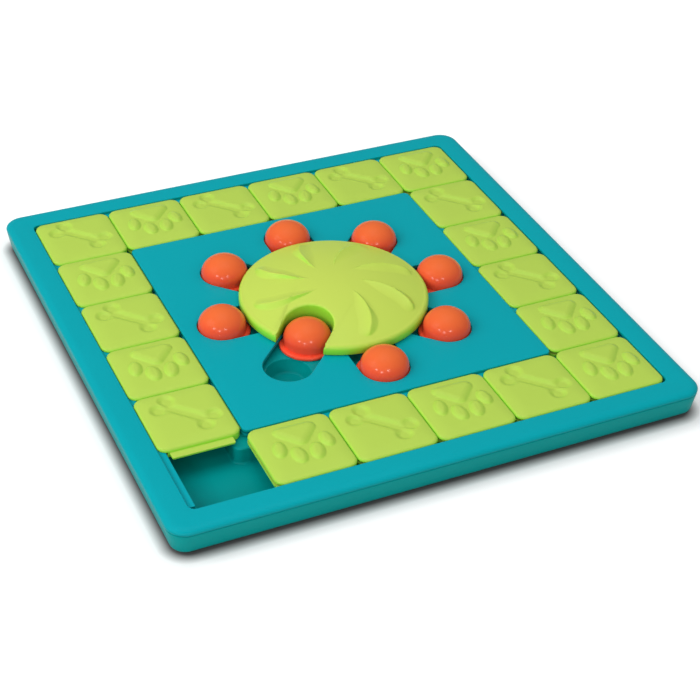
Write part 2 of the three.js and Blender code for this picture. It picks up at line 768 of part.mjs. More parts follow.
// Feet and screws.
const footGeometry = geometryOf(post(footRadius, 0, footThickness, cupSides));
for (const [name, [x, y]] of Object.entries(footPlaces)) place("foot_" + name, footGeometry, rubber, x, y);
const smallScrew = geometryOf(
  screwSolid(screwRadius, screwHeadRadius, screwHeadHeight, shelfUnder - restGap, ledgeTop + screwBite),
);
for (const [i, [x, y]] of frameScrewPlaces.entries()) place(`frame_screw_${i + 1}`, smallScrew, steel, x, y);
for (const [i, [x, y]] of deckScrewPlaces.entries()) place(`deck_screw_${i + 1}`, smallScrew, steel, x, y);

export default feeder;
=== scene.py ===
# %% [markdown]
# # A dog puzzle feeder, dressed for its portrait
#
# The real toy is a square plastic board. Nineteen lime tiles slide round the edge over a food
# trough, and eight orange knobs slide in towards a domed wheel when the wheel's notch faces
# them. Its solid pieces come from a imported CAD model; this notebook gives every piece that
# shows its fine surface, its plastic and its light.

# %% Load the frame
import math

import bpy
import numpy as np
from mathutils import Matrix, Vector


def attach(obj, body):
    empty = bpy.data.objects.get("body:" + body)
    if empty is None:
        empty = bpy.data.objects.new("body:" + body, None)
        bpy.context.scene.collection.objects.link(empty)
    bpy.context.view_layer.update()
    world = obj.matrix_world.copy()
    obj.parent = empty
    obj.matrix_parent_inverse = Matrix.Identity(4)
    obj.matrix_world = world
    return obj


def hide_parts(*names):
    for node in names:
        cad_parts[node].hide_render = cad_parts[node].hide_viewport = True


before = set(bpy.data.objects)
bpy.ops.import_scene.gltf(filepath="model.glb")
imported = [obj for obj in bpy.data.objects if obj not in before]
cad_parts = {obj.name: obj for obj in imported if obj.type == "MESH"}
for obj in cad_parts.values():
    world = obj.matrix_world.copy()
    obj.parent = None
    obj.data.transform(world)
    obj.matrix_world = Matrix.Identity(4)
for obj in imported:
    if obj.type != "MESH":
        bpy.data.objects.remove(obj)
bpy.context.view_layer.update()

# %% [markdown]
# ## Sizes
#
# A moulded toy is drawn in millimetres, so the sizes below are millimetres too, and one
# number turns them into Blender's metres. They repeat the CAD model's sizes, apart from a few
# roundings that are softer here. A surface could be measured off the CAD mesh instead, but
# named sizes can be read and changed.

# %% Sizes of the board
MM = 0.001
PITCH = 50.0

TRAY_UNDER = 1.0
FLOOR_TOP = 3.0
SHELF_UNDER = 11.5
LEDGE_TOP = 13.7
SLIDE_LEVEL = 14.0
TRAY_WALL_TOP = 15.4
FRAME_LOW = 15.7
DECK_UNDER = 16.5
FRAME_UNDER = 16.6
DECK_TOP = 19.0
WHEEL_LOW = 19.3
TILE_TOP = 20.0

GROOVE_LOW, GROOVE_HIGH, GROOVE_DEPTH = 15.3, 17.3, 5.0
TONGUE_LOW, TONGUE_HIGH, TONGUE_REACH = 15.6, 17.0, 5.0
RAIL_REACH, RAIL_END = 4.5, 4.0
TONGUE_INSET = 6.0

TILE_HALF = 24.75
DECK_HALF = 99.75
DECK_WALL_INNER = 92.75
FIELD_HALF = 150.25
FRAME_HALF = 166.5
PLATEAU_HALF = 108.25
TROUGH_HALF = 146.0
TRAY_HALF = 166.1

KNOB_PARK, KNOB_IN = 74.45, 44.3
KNOB_RADIUS, FLANGE_RADIUS, SLOT_HALF = 14.8, 17.4, 15.4
WHEEL_RADIUS = 59.3
EIGHTH, NOTCH = 45, 5  # degrees from one slot to the next, and the slot the notch faces
NAMES = ["right", "back_right", "back", "back_left", "left", "front_left", "front", "front_right"]
print("board", 2 * FRAME_HALF, "mm square")

# %% [markdown]
# ## The camera
#
# The photograph was taken from the front left with a long lens. Its place comes from fitting
# the straight rows of tiles: a line that is straight on the toy must run straight through the
# same points of the picture. A camera can be aimed with a Track To constraint, but here the
# turn is written as three directions, so that the picture's slight roll can be set too.

# %% Camera
AZIMUTH, ELEVATION, ROLL = (math.radians(angle) for angle in (-25.966, 36.526, 2.445))
TARGET = Vector((-13.11, -53.59, 20.0)) * MM
DISTANCE = 1006.2 * MM
LENS = 86.27

back = Vector((
    math.sin(AZIMUTH) * math.cos(ELEVATION),
    -math.cos(AZIMUTH) * math.cos(ELEVATION),
    math.sin(ELEVATION),
))
level = Vector((math.cos(AZIMUTH), math.sin(AZIMUTH), 0))
upward = back.cross(level)
right = level * math.cos(ROLL) + upward * math.sin(ROLL)
top = upward * math.cos(ROLL) - level * math.sin(ROLL)

camera = bpy.data.objects.new("camera", bpy.data.cameras.new("camera"))
camera.data.lens = LENS
camera.data.sensor_width = 36
camera.data.clip_start = 0.01
camera_place = TARGET + back * DISTANCE
camera_turn = Matrix((right, top, back)).transposed().to_4x4()
camera.matrix_world = Matrix.Translation(camera_place) @ camera_turn
bpy.context.scene.collection.objects.link(camera)
bpy.context.scene.camera = camera
print("camera at", [round(v, 3) for v in camera_place])

# %% [markdown]
# ## Light and floor
#
# The picture is a catalogue shot on white: a bright room all round, broad soft light from the
# left and from above, a little from the front, and three small weak lamps that leave a few
# small lights on every knob. An environment picture could give that, but a plain pale world
# and a few area lamps are easier to steer. Only the small lamps show in the plastic's shine,
# and the room shows in it weakly, so the colours stay deep.

# %% World
ROOM_LIGHT, ROOM_SHINE, BACKDROP = 0.46, 0.15, 1.0

scene = bpy.context.scene
scene.view_settings.view_transform = "Standard"

world = bpy.data.worlds.new("studio")
scene.world = world
world.use_nodes = True
nodes, links = world.node_tree.nodes, world.node_tree.links
nodes.clear()


def set_inputs(node, values):
    """Gives a node's inputs their values, by name."""
    for name, value in values.items():
        node.inputs[name].default_value = value


def background(strength):
    """A white background shader of the given strength."""
    node = nodes.new("ShaderNodeBackground")
    set_inputs(node, {"Color": (1.0, 1.0, 1.0, 1.0), "Strength": strength})
    return node.outputs["Background"]


def choose(share, first, second):
    """The first shader where the share is 0, and the second where it is 1."""
    node = nodes.new("ShaderNodeMixShader")
    links.new(share, node.inputs["Fac"])
    links.new(first, node.inputs[1])
    links.new(second, node.inputs[2])
    return node.outputs["Shader"]


path = nodes.new("ShaderNodeLightPath")
direct = nodes.new("ShaderNodeMath")
direct.operation = "MAXIMUM"
links.new(path.outputs["Is Camera Ray"], direct.inputs[0])
links.new(path.outputs["Is Transmission Ray"], direct.inputs[1])
lighting = choose(path.outputs["Is Glossy Ray"], background(ROOM_LIGHT), background(ROOM_SHINE))
out = nodes.new("ShaderNodeOutputWorld")
links.new(choose(direct.outputs["Value"], lighting, background(BACKDROP)), out.inputs["Surface"])
print("room light:", ROOM_LIGHT)

# %% Lamps
# Each soft lamp has a name, a place and a width in metres, and a power in watts.
SOFT_LAMPS = [
    ("left", (-1.45, 0.30, 1.35), 1.1, 16),
    ("overhead", (0.0, 0.45, 2.2), 1.6, 12),
    ("front", (-0.55, -1.55, 0.75), 1.0, 1.5),
]
SPARKS = [(-0.783, -0.378, 0.494), (-0.543, -0.738, 0.401), (-0.08, -0.829, 0.553)]
SPARK_DISTANCE, SPARK_WIDTH, SPARK_POWER = 1.5, 0.09, 1.5


def lamp(name, place, size, power, aim=(0, 0, 0)):
    """A square area lamp, `size` metres wide, at `place` and turned to face `aim`."""
    data = bpy.data.lights.new(name, "AREA")
    data.size = size
    data.energy = power
    item = bpy.data.objects.new(name, data)
    item.location = place
    item.rotation_mode = "QUATERNION"
    item.rotation_quaternion = (Vector(aim) - Vector(place)).to_track_quat("-Z", "Y")
    scene.collection.objects.link(item)
    return item


for name, place, size, power in SOFT_LAMPS:
    lamp(name, place, size, power).visible_glossy = False
for count, way in enumerate(SPARKS):
    lamp("spark_%d" % (count + 1), Vector(way) * SPARK_DISTANCE, SPARK_WIDTH, SPARK_POWER)

# %% [markdown]
# ## Floor
#
# The floor is a white sheet that catches a short soft shadow. The thin dark line where the
# board stands on it would need much finer light than this scene has, so the floor's material
# paints that shadow: it works out how far a point lies from the board and darkens the nearest
# few millimetres.

# %% Floor
FLOOR_REACH = 6.0
# Painted shadow: the lift fades in over the last distance on the line below, and on the line after it
# the floor's colour darkens to a share of its white within a distance of the board.
FLOOR_WHITE, FLOOR_LIFT, SHADOW_LIFT_REACH = 0.9, 0.3, 24.0
PAINTED_SHADOW_SHARE, PAINTED_SHADOW_REACH = 0.15, 7.5
STANDING_HALF, STANDING_CORNER = 163.4, 10.0


def blank_material(name):
    """A new material, its nodes, its links and its Principled shader."""
    material = bpy.data.materials.new(name)
    material.use_nodes = True
    tree = material.node_tree
    return material, tree.nodes, tree.links, tree.nodes["Principled BSDF"]


def floor_material(half, corner):
    """A matt white floor. The camera sees it brighter by a lift, so that it ends white where
    nothing shades it. Close to the board, a rounded square of the given half width and corner,
    the floor has a painted shadow: its colour is darker and it has no lift, so the line of
    contact stays dark. The distance to the board is the length of the part of (|x|, |y|) beyond
    the corner's centre, less the corner.
    """
    material, nodes, links, shader = blank_material("floor")
    set_inputs(shader, {"Roughness": 0.9, "Specular IOR Level": 0.0, "Emission Color": (1, 1, 1, 1)})

    def vector_maths(operation, first, second=None):
        node = nodes.new("ShaderNodeVectorMath")
        node.operation = operation
        links.new(first, node.inputs[0])
        if second is not None:
            node.inputs[1].default_value = second
        return node

    def fade(distance, low, high, reach):
        node = nodes.new("ShaderNodeMapRange")
        set_inputs(node, {"From Max": reach * MM, "To Min": low, "To Max": high})
        links.new(distance, node.inputs["Value"])
        return node.outputs["Result"]

    place = nodes.new("ShaderNodeTexCoord")
    folded = vector_maths("ABSOLUTE", place.outputs["Object"])
    middle = (half - corner) * MM
    beyond = vector_maths("SUBTRACT", folded.outputs[0], (middle, middle, 1.0))
    outside = vector_maths("MAXIMUM", beyond.outputs[0], (0, 0, 0))
    away = nodes.new("ShaderNodeMath")
    away.operation = "SUBTRACT"
    links.new(vector_maths("LENGTH", outside.outputs[0]).outputs["Value"], away.inputs[0])
    away.inputs[1].default_value = corner * MM
    # Painted shadow: the floor's colour darkens close to the board.
    shade = fade(away.outputs["Value"], PAINTED_SHADOW_SHARE * FLOOR_WHITE, FLOOR_WHITE, PAINTED_SHADOW_REACH)
    links.new(shade, shader.inputs["Base Color"])
    # The camera's lift is held back close to the board too, as part of the painted shadow.
    path = nodes.new("ShaderNodeLightPath")
    glow = nodes.new("ShaderNodeMath")
    glow.operation = "MULTIPLY"
    links.new(fade(away.outputs["Value"], 0.0, FLOOR_LIFT, SHADOW_LIFT_REACH), glow.inputs[0])
    links.new(path.outputs["Is Camera Ray"], glow.inputs[1])
    links.new(glow.outputs["Value"], shader.inputs["Emission Strength"])
    return material


floor_mesh = bpy.data.meshes.new("floor")
corners = [(x * FLOOR_REACH, y * FLOOR_REACH, 0) for x, y in ((-1, -1), (1, -1), (1, 1), (-1, 1))]
floor_mesh.from_pydata(corners, [], [(0, 1, 2, 3)])
floor = bpy.data.objects.new("floor", floor_mesh)
floor.data.materials.append(floor_material(STANDING_HALF, STANDING_CORNER))
scene.collection.objects.link(floor)
print("floor:", 2 * FLOOR_REACH, "m square")

# %% [markdown]
# ## Moulded plastic
#
# Every coloured piece is injection-moulded plastic with a satin face. Close to, such a face
# isn't flat: the mould's fine grain breaks up the shine, the colour drifts very slightly where
# the melt flowed, and handling leaves rubbed and duller patches. One shader node group makes
# all of that from the point on the piece, and each material places it with its own values. An
# image texture could do the same, but it would need a layout on every piece.

# %% The moulded plastic group
# The scale of each noise, per metre, how many finer layers it has, and its share of them.
CLOUD, PATCHES = (14.0, 3.0, 0.5), (36.0, 6.0, 0.62)
FINE_GRAIN, WAVES = (2200.0, 2.0, 0.5), (24.0, 1.0, 0.5)
CLOUD_START, WAVE_SHARE = 0.35, 1.6
# Painted shade: a face takes more of its shade colour the more upright it stands, wholly so below the
# first slant here, and the shade of a piece's foot fades out over the second number, in millimetres
# above the foot height.
UPRIGHT, FOOT_FADE = 0.05, 6.0

GROUP_INPUTS = [
    ("Colour", "NodeSocketColor", (0.5, 0.5, 0.5, 1)),
    ("Painted shade colour", "NodeSocketColor", (0.5, 0.5, 0.5, 1)),
    ("Deep colour", "NodeSocketColor", (0.4, 0.4, 0.4, 1)),
    ("Shaded foot height", "NodeSocketFloat", 0.0),
    ("Drift", "NodeSocketFloat", 0.3),
    ("Roughness", "NodeSocketFloat", 0.4),
    ("Handling", "NodeSocketFloat", 0.1),
    ("Grain", "NodeSocketFloat", 0.3),
]
GROUP_OUTPUTS = [
    ("Colour", "NodeSocketColor"), ("Roughness", "NodeSocketFloat"), ("Height", "NodeSocketFloat"),
]


def moulded_group():
    """Colour, roughness and height of a satin moulding, worked out from the place on it.

    Colour: the named colour where the face lies flat, and a painted shade colour where it is
    upright or lower than the foot height; either one is mixed towards the deep colour by a
    broad cloud of noise.
    Roughness: a middle value, raised and lowered by patches of handling.
    Height: fine grain, plus a broad, faint waviness where the wall shrank.
    """
    group = bpy.data.node_groups.new("moulded_plastic", "ShaderNodeTree")
    for name, kind, value in GROUP_INPUTS:
        item = group.interface.new_socket(name=name, in_out="INPUT", socket_type=kind)
        item.default_value = value
    for name, kind in GROUP_OUTPUTS:
        group.interface.new_socket(name=name, in_out="OUTPUT", socket_type=kind)
    nodes, links = group.nodes, group.links
    given = nodes.new("NodeGroupInput")
    made = nodes.new("NodeGroupOutput")
    place = nodes.new("ShaderNodeTexCoord")

    def noise(scale, detail, rough):
        node = nodes.new("ShaderNodeTexNoise")
        set_inputs(node, {"Scale": scale, "Detail": detail, "Roughness": rough})
        links.new(place.outputs["Object"], node.inputs["Vector"])
        return node.outputs["Fac"]

    def maths(operation, first, second):
        node = nodes.new("ShaderNodeMath")
        node.operation = operation
        for slot, value in zip(node.inputs, (first, second)):
            if isinstance(value, (int, float)):
                slot.default_value = value
            else:
                links.new(value, slot)
        return node.outputs[0]

    def blend(factor, first, second):
        node = nodes.new("ShaderNodeMix")
        node.data_type = "RGBA"
        node.clamp_factor = True
        links.new(factor, node.inputs["Factor"])
        links.new(first, node.inputs["A"])
        links.new(second, node.inputs["B"])
        return node.outputs["Result"]

    # Painted shade: upright faces, and all of a piece below its foot height, take the shade colour in
    # place of the flat faces' colour.
    facing = nodes.new("ShaderNodeNewGeometry")
    split = nodes.new("ShaderNodeSeparateXYZ")
    links.new(facing.outputs["Normal"], split.inputs["Vector"])
    flatness = nodes.new("ShaderNodeMapRange")
    flatness.inputs["From Min"].default_value = UPRIGHT
    links.new(split.outputs["Z"], flatness.inputs["Value"])
    height = nodes.new("ShaderNodeSeparateXYZ")
    links.new(place.outputs["Object"], height.inputs["Vector"])
    above = maths("SUBTRACT", height.outputs["Z"], given.outputs["Shaded foot height"])
    grown = nodes.new("ShaderNodeMapRange")
    grown.inputs["From Max"].default_value = FOOT_FADE * MM
    links.new(above, grown.inputs["Value"])
    unshaded_top_share = maths("MULTIPLY", flatness.outputs["Result"], grown.outputs["Result"])
    colour_with_painted_shade = blend(unshaded_top_share, given.outputs["Painted shade colour"], given.outputs["Colour"])
    cloud = maths("SUBTRACT", noise(*CLOUD), CLOUD_START)
    shade = maths("MULTIPLY", cloud, given.outputs["Drift"])
    links.new(blend(shade, colour_with_painted_shade, given.outputs["Deep colour"]), made.inputs["Colour"])

    patches = maths("SUBTRACT", noise(*PATCHES), 0.5)
    worn = maths("MULTIPLY", patches, given.outputs["Handling"])
    links.new(maths("ADD", given.outputs["Roughness"], worn), made.inputs["Roughness"])

    grain = maths("MULTIPLY", noise(*FINE_GRAIN), given.outputs["Grain"])
    waves = maths("MULTIPLY", noise(*WAVES), WAVE_SHARE)
    links.new(maths("ADD", grain, waves), made.inputs["Height"])
    return group


MOULDED = moulded_group()
print("group sockets:", [s.name for s in MOULDED.interface.items_tree])

# %% [markdown]
# ## The finishes
#
# Five plastics show: the teal of the frame and deck, the deeper teal of the tray, the lime of
# the tiles, the slightly lighter lime of the wheel, and the orange of the knobs. Light that
# goes into a strongly coloured plastic comes out again deeper where the surface turns away
# from the lamps: the lime goes green and the orange goes red. Subsurface scattering would do
# that, but slowly and with noise, so each plastic has a painted shade colour instead, which it
# takes wherever its face stands upright, whatever the lamps do. Below its foot height a piece
# has that painted shade everywhere, which only the knobs use, for their lowest part. Colours
# are written as they look on a screen and turned into the linear values that a shader works
# with.

# %% Plastics, rubber and steel


def linear(red, green, blue):
    """Screen values 0 to 255 as the linear values that a shader works with."""
    parts = np.array([red, green, blue]) / 255.0
    low = parts / 12.92
    high = ((parts + 0.055) / 1.055) ** 2.4
    return tuple(float(v) for v in np.where(parts <= 0.04045, low, high))


BELOW_ALL, DRIFT = -50.0, 0.35
BUMP_STRENGTH, BUMP_DEPTH = 0.35, 0.2
SCREW_GREY = (0.62, 0.62, 0.63, 1)
SCRATCH_SCALE, SCRATCH_ROUGHNESS = (400, 6000, 400), (0.22, 0.48)


# The second colour, side, is painted shade for upright faces, and below foot every face takes it.
def plastic(name, colour, side, deep, roughness, gloss, grain=0.25, handling=0.12, foot=BELOW_ALL):
    """A satin plastic: the moulded group feeding one Principled BSDF."""
    material, nodes, links, shader = blank_material(name)
    group = nodes.new("ShaderNodeGroup")
    group.node_tree = MOULDED
    set_inputs(group, {
        "Colour": (*linear(*colour), 1),
        "Painted shade colour": (*linear(*side), 1),
        "Deep colour": (*linear(*deep), 1),
        "Shaded foot height": foot * MM,
        "Drift": DRIFT,
        "Roughness": roughness,
        "Handling": handling,
        "Grain": grain,
    })
    bump = nodes.new("ShaderNodeBump")
    set_inputs(bump, {"Strength": BUMP_STRENGTH, "Distance": BUMP_DEPTH * MM})
    links.new(group.outputs["Height"], bump.inputs["Height"])
    links.new(group.outputs["Colour"], shader.inputs["Base Color"])
    links.new(group.outputs["Roughness"], shader.inputs["Roughness"])
    links.new(bump.outputs["Normal"], shader.inputs["Normal"])
    set_inputs(shader, {"IOR": 1.5, "Specular IOR Level": gloss})
    return material


# Each plastic: its colour, its painted shade colour for upright faces, and its deep colour.
TEAL = plastic(
    "teal_plastic", (0, 162, 174), (0, 146, 150), (0, 152, 164), roughness=0.34, gloss=0.1,
)
DEEP_TEAL = plastic(
    "deep_teal_plastic", (0, 144, 144), (0, 146, 143), (0, 134, 136), roughness=0.34, gloss=0.08,
)
LIME = plastic(
    "lime_plastic", (182, 212, 84), (158, 236, 62), (176, 207, 78),
    roughness=0.32, gloss=0.35, grain=0.3,
)
LIME_WHEEL = plastic(
    "lime_wheel_plastic", (197, 218, 90), (150, 240, 62), (191, 214, 82),
    roughness=0.34, gloss=0.3, grain=0.3,
)
# The knobs are painted with the shade colour everywhere below a millimetre above the deck.
ORANGE = plastic(
    "orange_plastic", (238, 110, 52), (255, 82, 54), (234, 102, 48),
    roughness=0.2, gloss=0.4, grain=0.02, handling=0.05, foot=DECK_TOP + 1,
)
RUBBER = plastic(
    "foot_rubber", (52, 56, 58), (52, 56, 58), (40, 44, 46), roughness=0.85, gloss=0.5, grain=0.8,
)


def steel():
    """Bright turned steel: metal whose roughness follows fine scratches along one way."""
    material, nodes, links, shader = blank_material("screw_steel")
    set_inputs(shader, {"Base Color": SCREW_GREY, "Metallic": 1.0})
    place = nodes.new("ShaderNodeTexCoord")
    stretch = nodes.new("ShaderNodeMapping")
    set_inputs(stretch, {"Scale": SCRATCH_SCALE})
    scratches = nodes.new("ShaderNodeTexNoise")
    set_inputs(scratches, {"Scale": 1.0})
    fit = nodes.new("ShaderNodeMapRange")
    set_inputs(fit, {"To Min": SCRATCH_ROUGHNESS[0], "To Max": SCRATCH_ROUGHNESS[1]})
    links.new(place.outputs["Object"], stretch.inputs["Vector"])
    links.new(stretch.outputs["Vector"], scratches.inputs["Vector"])
    links.new(scratches.outputs["Fac"], fit.inputs["Value"])
    links.new(fit.outputs["Result"], shader.inputs["Roughness"])
    return material


STEEL = steel()
print("materials:", [m.name for m in (TEAL, DEEP_TEAL, LIME, LIME_WHEEL, ORANGE, RUBBER, STEEL)])

# %% [markdown]
# ## From arrays to meshes
#
# A smooth moulding is a sheet of points: rows that run along it and columns that run round it.
# numpy works out whole sheets at once, and one helper turns the sheets of a piece into a mesh.
# Where two sheets meet they share the same points, so welding those closes the seam and the
# poles. Edges sharper than an angle stay crisp, and all others shade as one surface. Faces
# could be added one by one with bmesh, which is easier to follow but far slower.

# %% Mesh helpers
WELD_OFFSET, WELD_DIGITS = 0.000137, 3


def sheet_quads(rows, columns, closed, start=0):
    """Four-cornered faces of a grid of points, `closed` when its last column meets its first."""
    across = columns if closed else columns - 1
    r, c = np.meshgrid(np.arange(rows - 1), np.arange(across), indexing="ij")
    n = (c + 1) % columns
    here, above = r * columns, (r + 1) * columns
    return np.stack([here + c, here + n, above + n, above + c], -1).reshape(-1, 4) + start


def piece(name, sheets, material, body, replaced, crisp=35.0, flats=()):
    """A mesh object from sheets of points in millimetres.

    sheets: (points of shape rows x columns x 3, closed, flipped) for each sheet. Points that
    round to the same thousandth are welded (the small offset keeps round numbers away from
    the rounding's edge), and a quad whose corners fall together becomes a triangle or goes.
    flats: rings of points, each closed by one flat face.
    """
    points, faces, start = [], [], 0
    for grid, closed, flipped in sheets:
        rows, columns = grid.shape[:2]
        quads = sheet_quads(rows, columns, closed, start)
        faces.append(quads[:, ::-1] if flipped else quads)
        points.append(grid.reshape(-1, 3))
        start += rows * columns
    caps = []
    for ring in flats:
        caps.append(np.arange(len(ring)) + start)
        points.append(np.asarray(ring))
        start += len(ring)
    points = np.concatenate(points)
    snapped = np.round(points + WELD_OFFSET, WELD_DIGITS)
    _, keep, index = np.unique(snapped, axis=0, return_index=True, return_inverse=True)
    index = index.reshape(-1)
    faces = index[np.concatenate(faces)]
    after = np.roll(faces, -1, axis=1)
    same = faces == after
    whole = faces[~same.any(axis=1)]
    pinched = faces[same.sum(axis=1) == 1]
    thirds = pinched[pinched != np.roll(pinched, -1, axis=1)].reshape(-1, 3)
    loops = [whole.reshape(-1), thirds.reshape(-1)]
    sizes = [np.full(len(whole), 4), np.full(len(thirds), 3)]
    for cap in caps:
        ring = index[cap]
        ring = ring[ring != np.roll(ring, -1)]
        loops.append(ring)
        sizes.append(np.array([len(ring)]))
    loops, sizes = np.concatenate(loops), np.concatenate(sizes)
    mesh = bpy.data.meshes.new(name)
    mesh.vertices.add(len(keep))
    mesh.vertices.foreach_set("co", (points[keep] * MM).astype(np.float32).reshape(-1))
    mesh.loops.add(len(loops))
    mesh.loops.foreach_set("vertex_index", loops.astype(np.int32))
    mesh.polygons.add(len(sizes))
    mesh.polygons.foreach_set("loop_start", (np.cumsum(sizes) - sizes).astype(np.int32))
    mesh.update(calc_edges=True)
    mesh.validate()
    mesh.polygons.foreach_set("use_smooth", np.ones(len(mesh.polygons), dtype=bool))
    mesh.set_sharp_from_angle(angle=math.radians(crisp))
    mesh.materials.append(material)
    item = bpy.data.objects.new(name, mesh)
    scene.collection.objects.link(item)
    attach(item, body)
    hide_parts(*replaced)
    return item


def arc(start, stop, count):
    """`count` steps of angle in degrees, from start to stop, as cosines and sines."""
    angle = np.radians(np.linspace(start, stop, count + 1))
    return np.cos(angle), np.sin(angle)


def rounded(x, z, radius_x, radius_z, start, stop, count):
    """Profile points on part of an ellipse round (x, z)."""
    return [(x + radius_x * c, z + radius_z * s) for c, s in zip(*arc(start, stop, count))]


def softened(half, corner, z, out, up, start, stop, count):
    """Rows of (half, corner, height) that round an edge. At 0 degrees the half width and the
    corner are as given and the height is off by `up`. At 90 degrees the height is as given and
    the other two are off by `out`. In between all three follow a quarter circle."""
    return [
        (half + out * (1 - c), corner + out * (1 - c), z + up * (1 - s))
        for c, s in zip(*arc(start, stop, count))
    ]


# %% [markdown]
# ## Knobs
#
# A knob is turned work: a low dome over a straight collar, and under the deck a wide flange
# that keeps it in its slot. It is hollow below. Its profile is carried round the knob's own
# axis. A sphere that is scaled flat would give the dome but not the collar or the flange.

# %% Knob profile
KNOB_RISE, KNOB_WALL = 11.7, 3.0
COLLAR_TOP, FLANGE_TOP = DECK_TOP + 0.3, DECK_UNDER - 0.3
FLANGE_FOOT, FLANGE_EDGE = SLIDE_LEVEL + 1.0, KNOB_RADIUS + 0.9
SOFT_IN, SOFT_OUT = 0.3, 0.5  # the radii of the flange's lower edges, inside and outside
KNOB_SIDES = 96


def lathe(profile, x, y, sides):
    """Points of a profile of (radius, height) carried round an upright axis through (x, y)."""
    turn = np.linspace(0, 2 * np.pi, sides, endpoint=False)
    radius, height = np.array(profile).T
    return np.stack([
        x + radius[:, None] * np.cos(turn),
        y + radius[:, None] * np.sin(turn),
        np.broadcast_to(height[:, None], (len(height), sides)),
    ], axis=-1)


hollow_radius, hollow_rise = KNOB_RADIUS - KNOB_WALL, KNOB_RISE - KNOB_WALL
knob_profile = (
    [(0, COLLAR_TOP + hollow_rise)]
    + rounded(0, COLLAR_TOP, hollow_radius, hollow_rise, 85, 5, 12)
    + [(hollow_radius, SLIDE_LEVEL + SOFT_IN)]
    + rounded(hollow_radius + SOFT_IN, SLIDE_LEVEL + SOFT_IN, SOFT_IN, SOFT_IN, 180, 270, 3)
    + rounded(FLANGE_RADIUS - SOFT_OUT, SLIDE_LEVEL + SOFT_OUT, SOFT_OUT, SOFT_OUT, 270, 360, 4)
    + rounded(FLANGE_EDGE, FLANGE_FOOT, FLANGE_RADIUS - FLANGE_EDGE, FLANGE_TOP - FLANGE_FOOT, 0, 90, 6)
    + [(KNOB_RADIUS, FLANGE_TOP)]
    + rounded(0, COLLAR_TOP, KNOB_RADIUS, KNOB_RISE, 0, 89, 30)
    + [(0, COLLAR_TOP + KNOB_RISE)]
)
print("knob profile:", len(knob_profile), "points")

# %% Knobs in their slots
for i, name in enumerate(NAMES):
    node = "knob_" + name
    reach = KNOB_IN if i == NOTCH else KNOB_PARK
    angle = math.radians(EIGHTH * i)
    dome = lathe(knob_profile, reach * math.cos(angle), reach * math.sin(angle), KNOB_SIDES)
    piece(node + "_dome", [(dome, True, False)], ORANGE, node, [node])
print("knobs:", len(NAMES))

# %% [markdown]
# ## Tiles
#
# Each tile is a soft square cushion of plastic with a paw standing up from it or a bone sunk
# into it, and a tongue on two sides that runs in the groove of its neighbour. The top is one
# square grid whose outer rings are drawn in to the round corners. The paw and the bone are
# distances: how far a point lies inside the outline, turned into height by a parabola or a
# smooth step. A sculpted mesh would look as good, but a distance can be widened or softened
# with one number.

# %% Distances


def ellipse(x, y, cx, cy, a, b, tilt):
    """Distance to a tilted ellipse: its level function over the length of its slope."""
    c, s = math.cos(math.radians(tilt)), math.sin(math.radians(tilt))
    u, v = (x - cx) * c + (y - cy) * s, (y - cy) * c - (x - cx) * s
    level = np.sqrt((u / a) ** 2 + (v / b) ** 2) + 1e-6
    return (level - 1) * level / np.sqrt((u / a**2) ** 2 + (v / b**2) ** 2 + 1e-9)


def soft_min(a, b, width):
    """The lesser of two distances, with a fillet of the given width where they meet."""
    h = np.clip(0.5 + 0.5 * (b - a) / width, 0, 1)
    return b * (1 - h) + a * h - width * h * (1 - h)


def polygon(x, y, corners, radius):
    """Distance to a polygon, listed anticlockwise, grown by a radius."""
    away = np.full(x.shape, 1e9)
    inside = np.full(x.shape, True)
    for (ax, ay), (bx, by) in zip(corners, corners[1:] + corners[:1]):
        ex, ey = bx - ax, by - ay
        t = np.clip(((x - ax) * ex + (y - ay) * ey) / (ex**2 + ey**2), 0, 1)
        away = np.minimum(away, np.hypot(x - ax - t * ex, y - ay - t * ey))
        inside &= ex * (y - ay) - ey * (x - ax) > 0
    return np.where(inside, -away, away) - radius


def cushion(distance, width):
    """0 outside a shape and 1 inside it: a parabola that starts steeply at the edge and comes
    level `width` inside it."""
    t = np.clip(-distance / width, 0, 1)
    return t * (2 - t)


# %% Paw and bone
# The toes are ellipses: centre, half widths and tilt. The pad is a triangle's three corners.
PAW_TOES = [
    (-13.0, 1.0, 4.3, 7.2, -12),
    (-4.5, -7.0, 4.7, 7.4, 2),
    (6.5, -7.0, 4.6, 7.5, -14),
    (15.3, 0.5, 4.4, 7.0, 4),
]
PAW_PAD, PAD_GROWTH = [(-7.0, 14.5), (1.2, 5.0), (9.5, 14.2)], 4.8
PAD_HEIGHT, PAD_SLOPE = 1.9, 5.0
TOE_HEIGHT, TOE_SLOPE = 1.8, 3.8
BONE_CENTRE, BONE_REACH, SHAFT_HALF = (0.75, 2.5), 15.0, 4.6
LOBE_SPREAD, LOBE_RADIUS, LOBE_FILLET = 4.9, 5.7, 3.5
BONE_DEPTH, BONE_SLOPE, SLOPE_SHIFT = 1.5, 4.0, 0.1


def paw_height(x, y):
    """The pad is a triangle with fat round corners, and the toes are four ellipses."""
    height = PAD_HEIGHT * cushion(polygon(x, y, PAW_PAD, PAD_GROWTH), PAD_SLOPE)
    for toe in PAW_TOES:
        height = np.maximum(height, TOE_HEIGHT * cushion(ellipse(x, y, *toe), TOE_SLOPE))
    return height


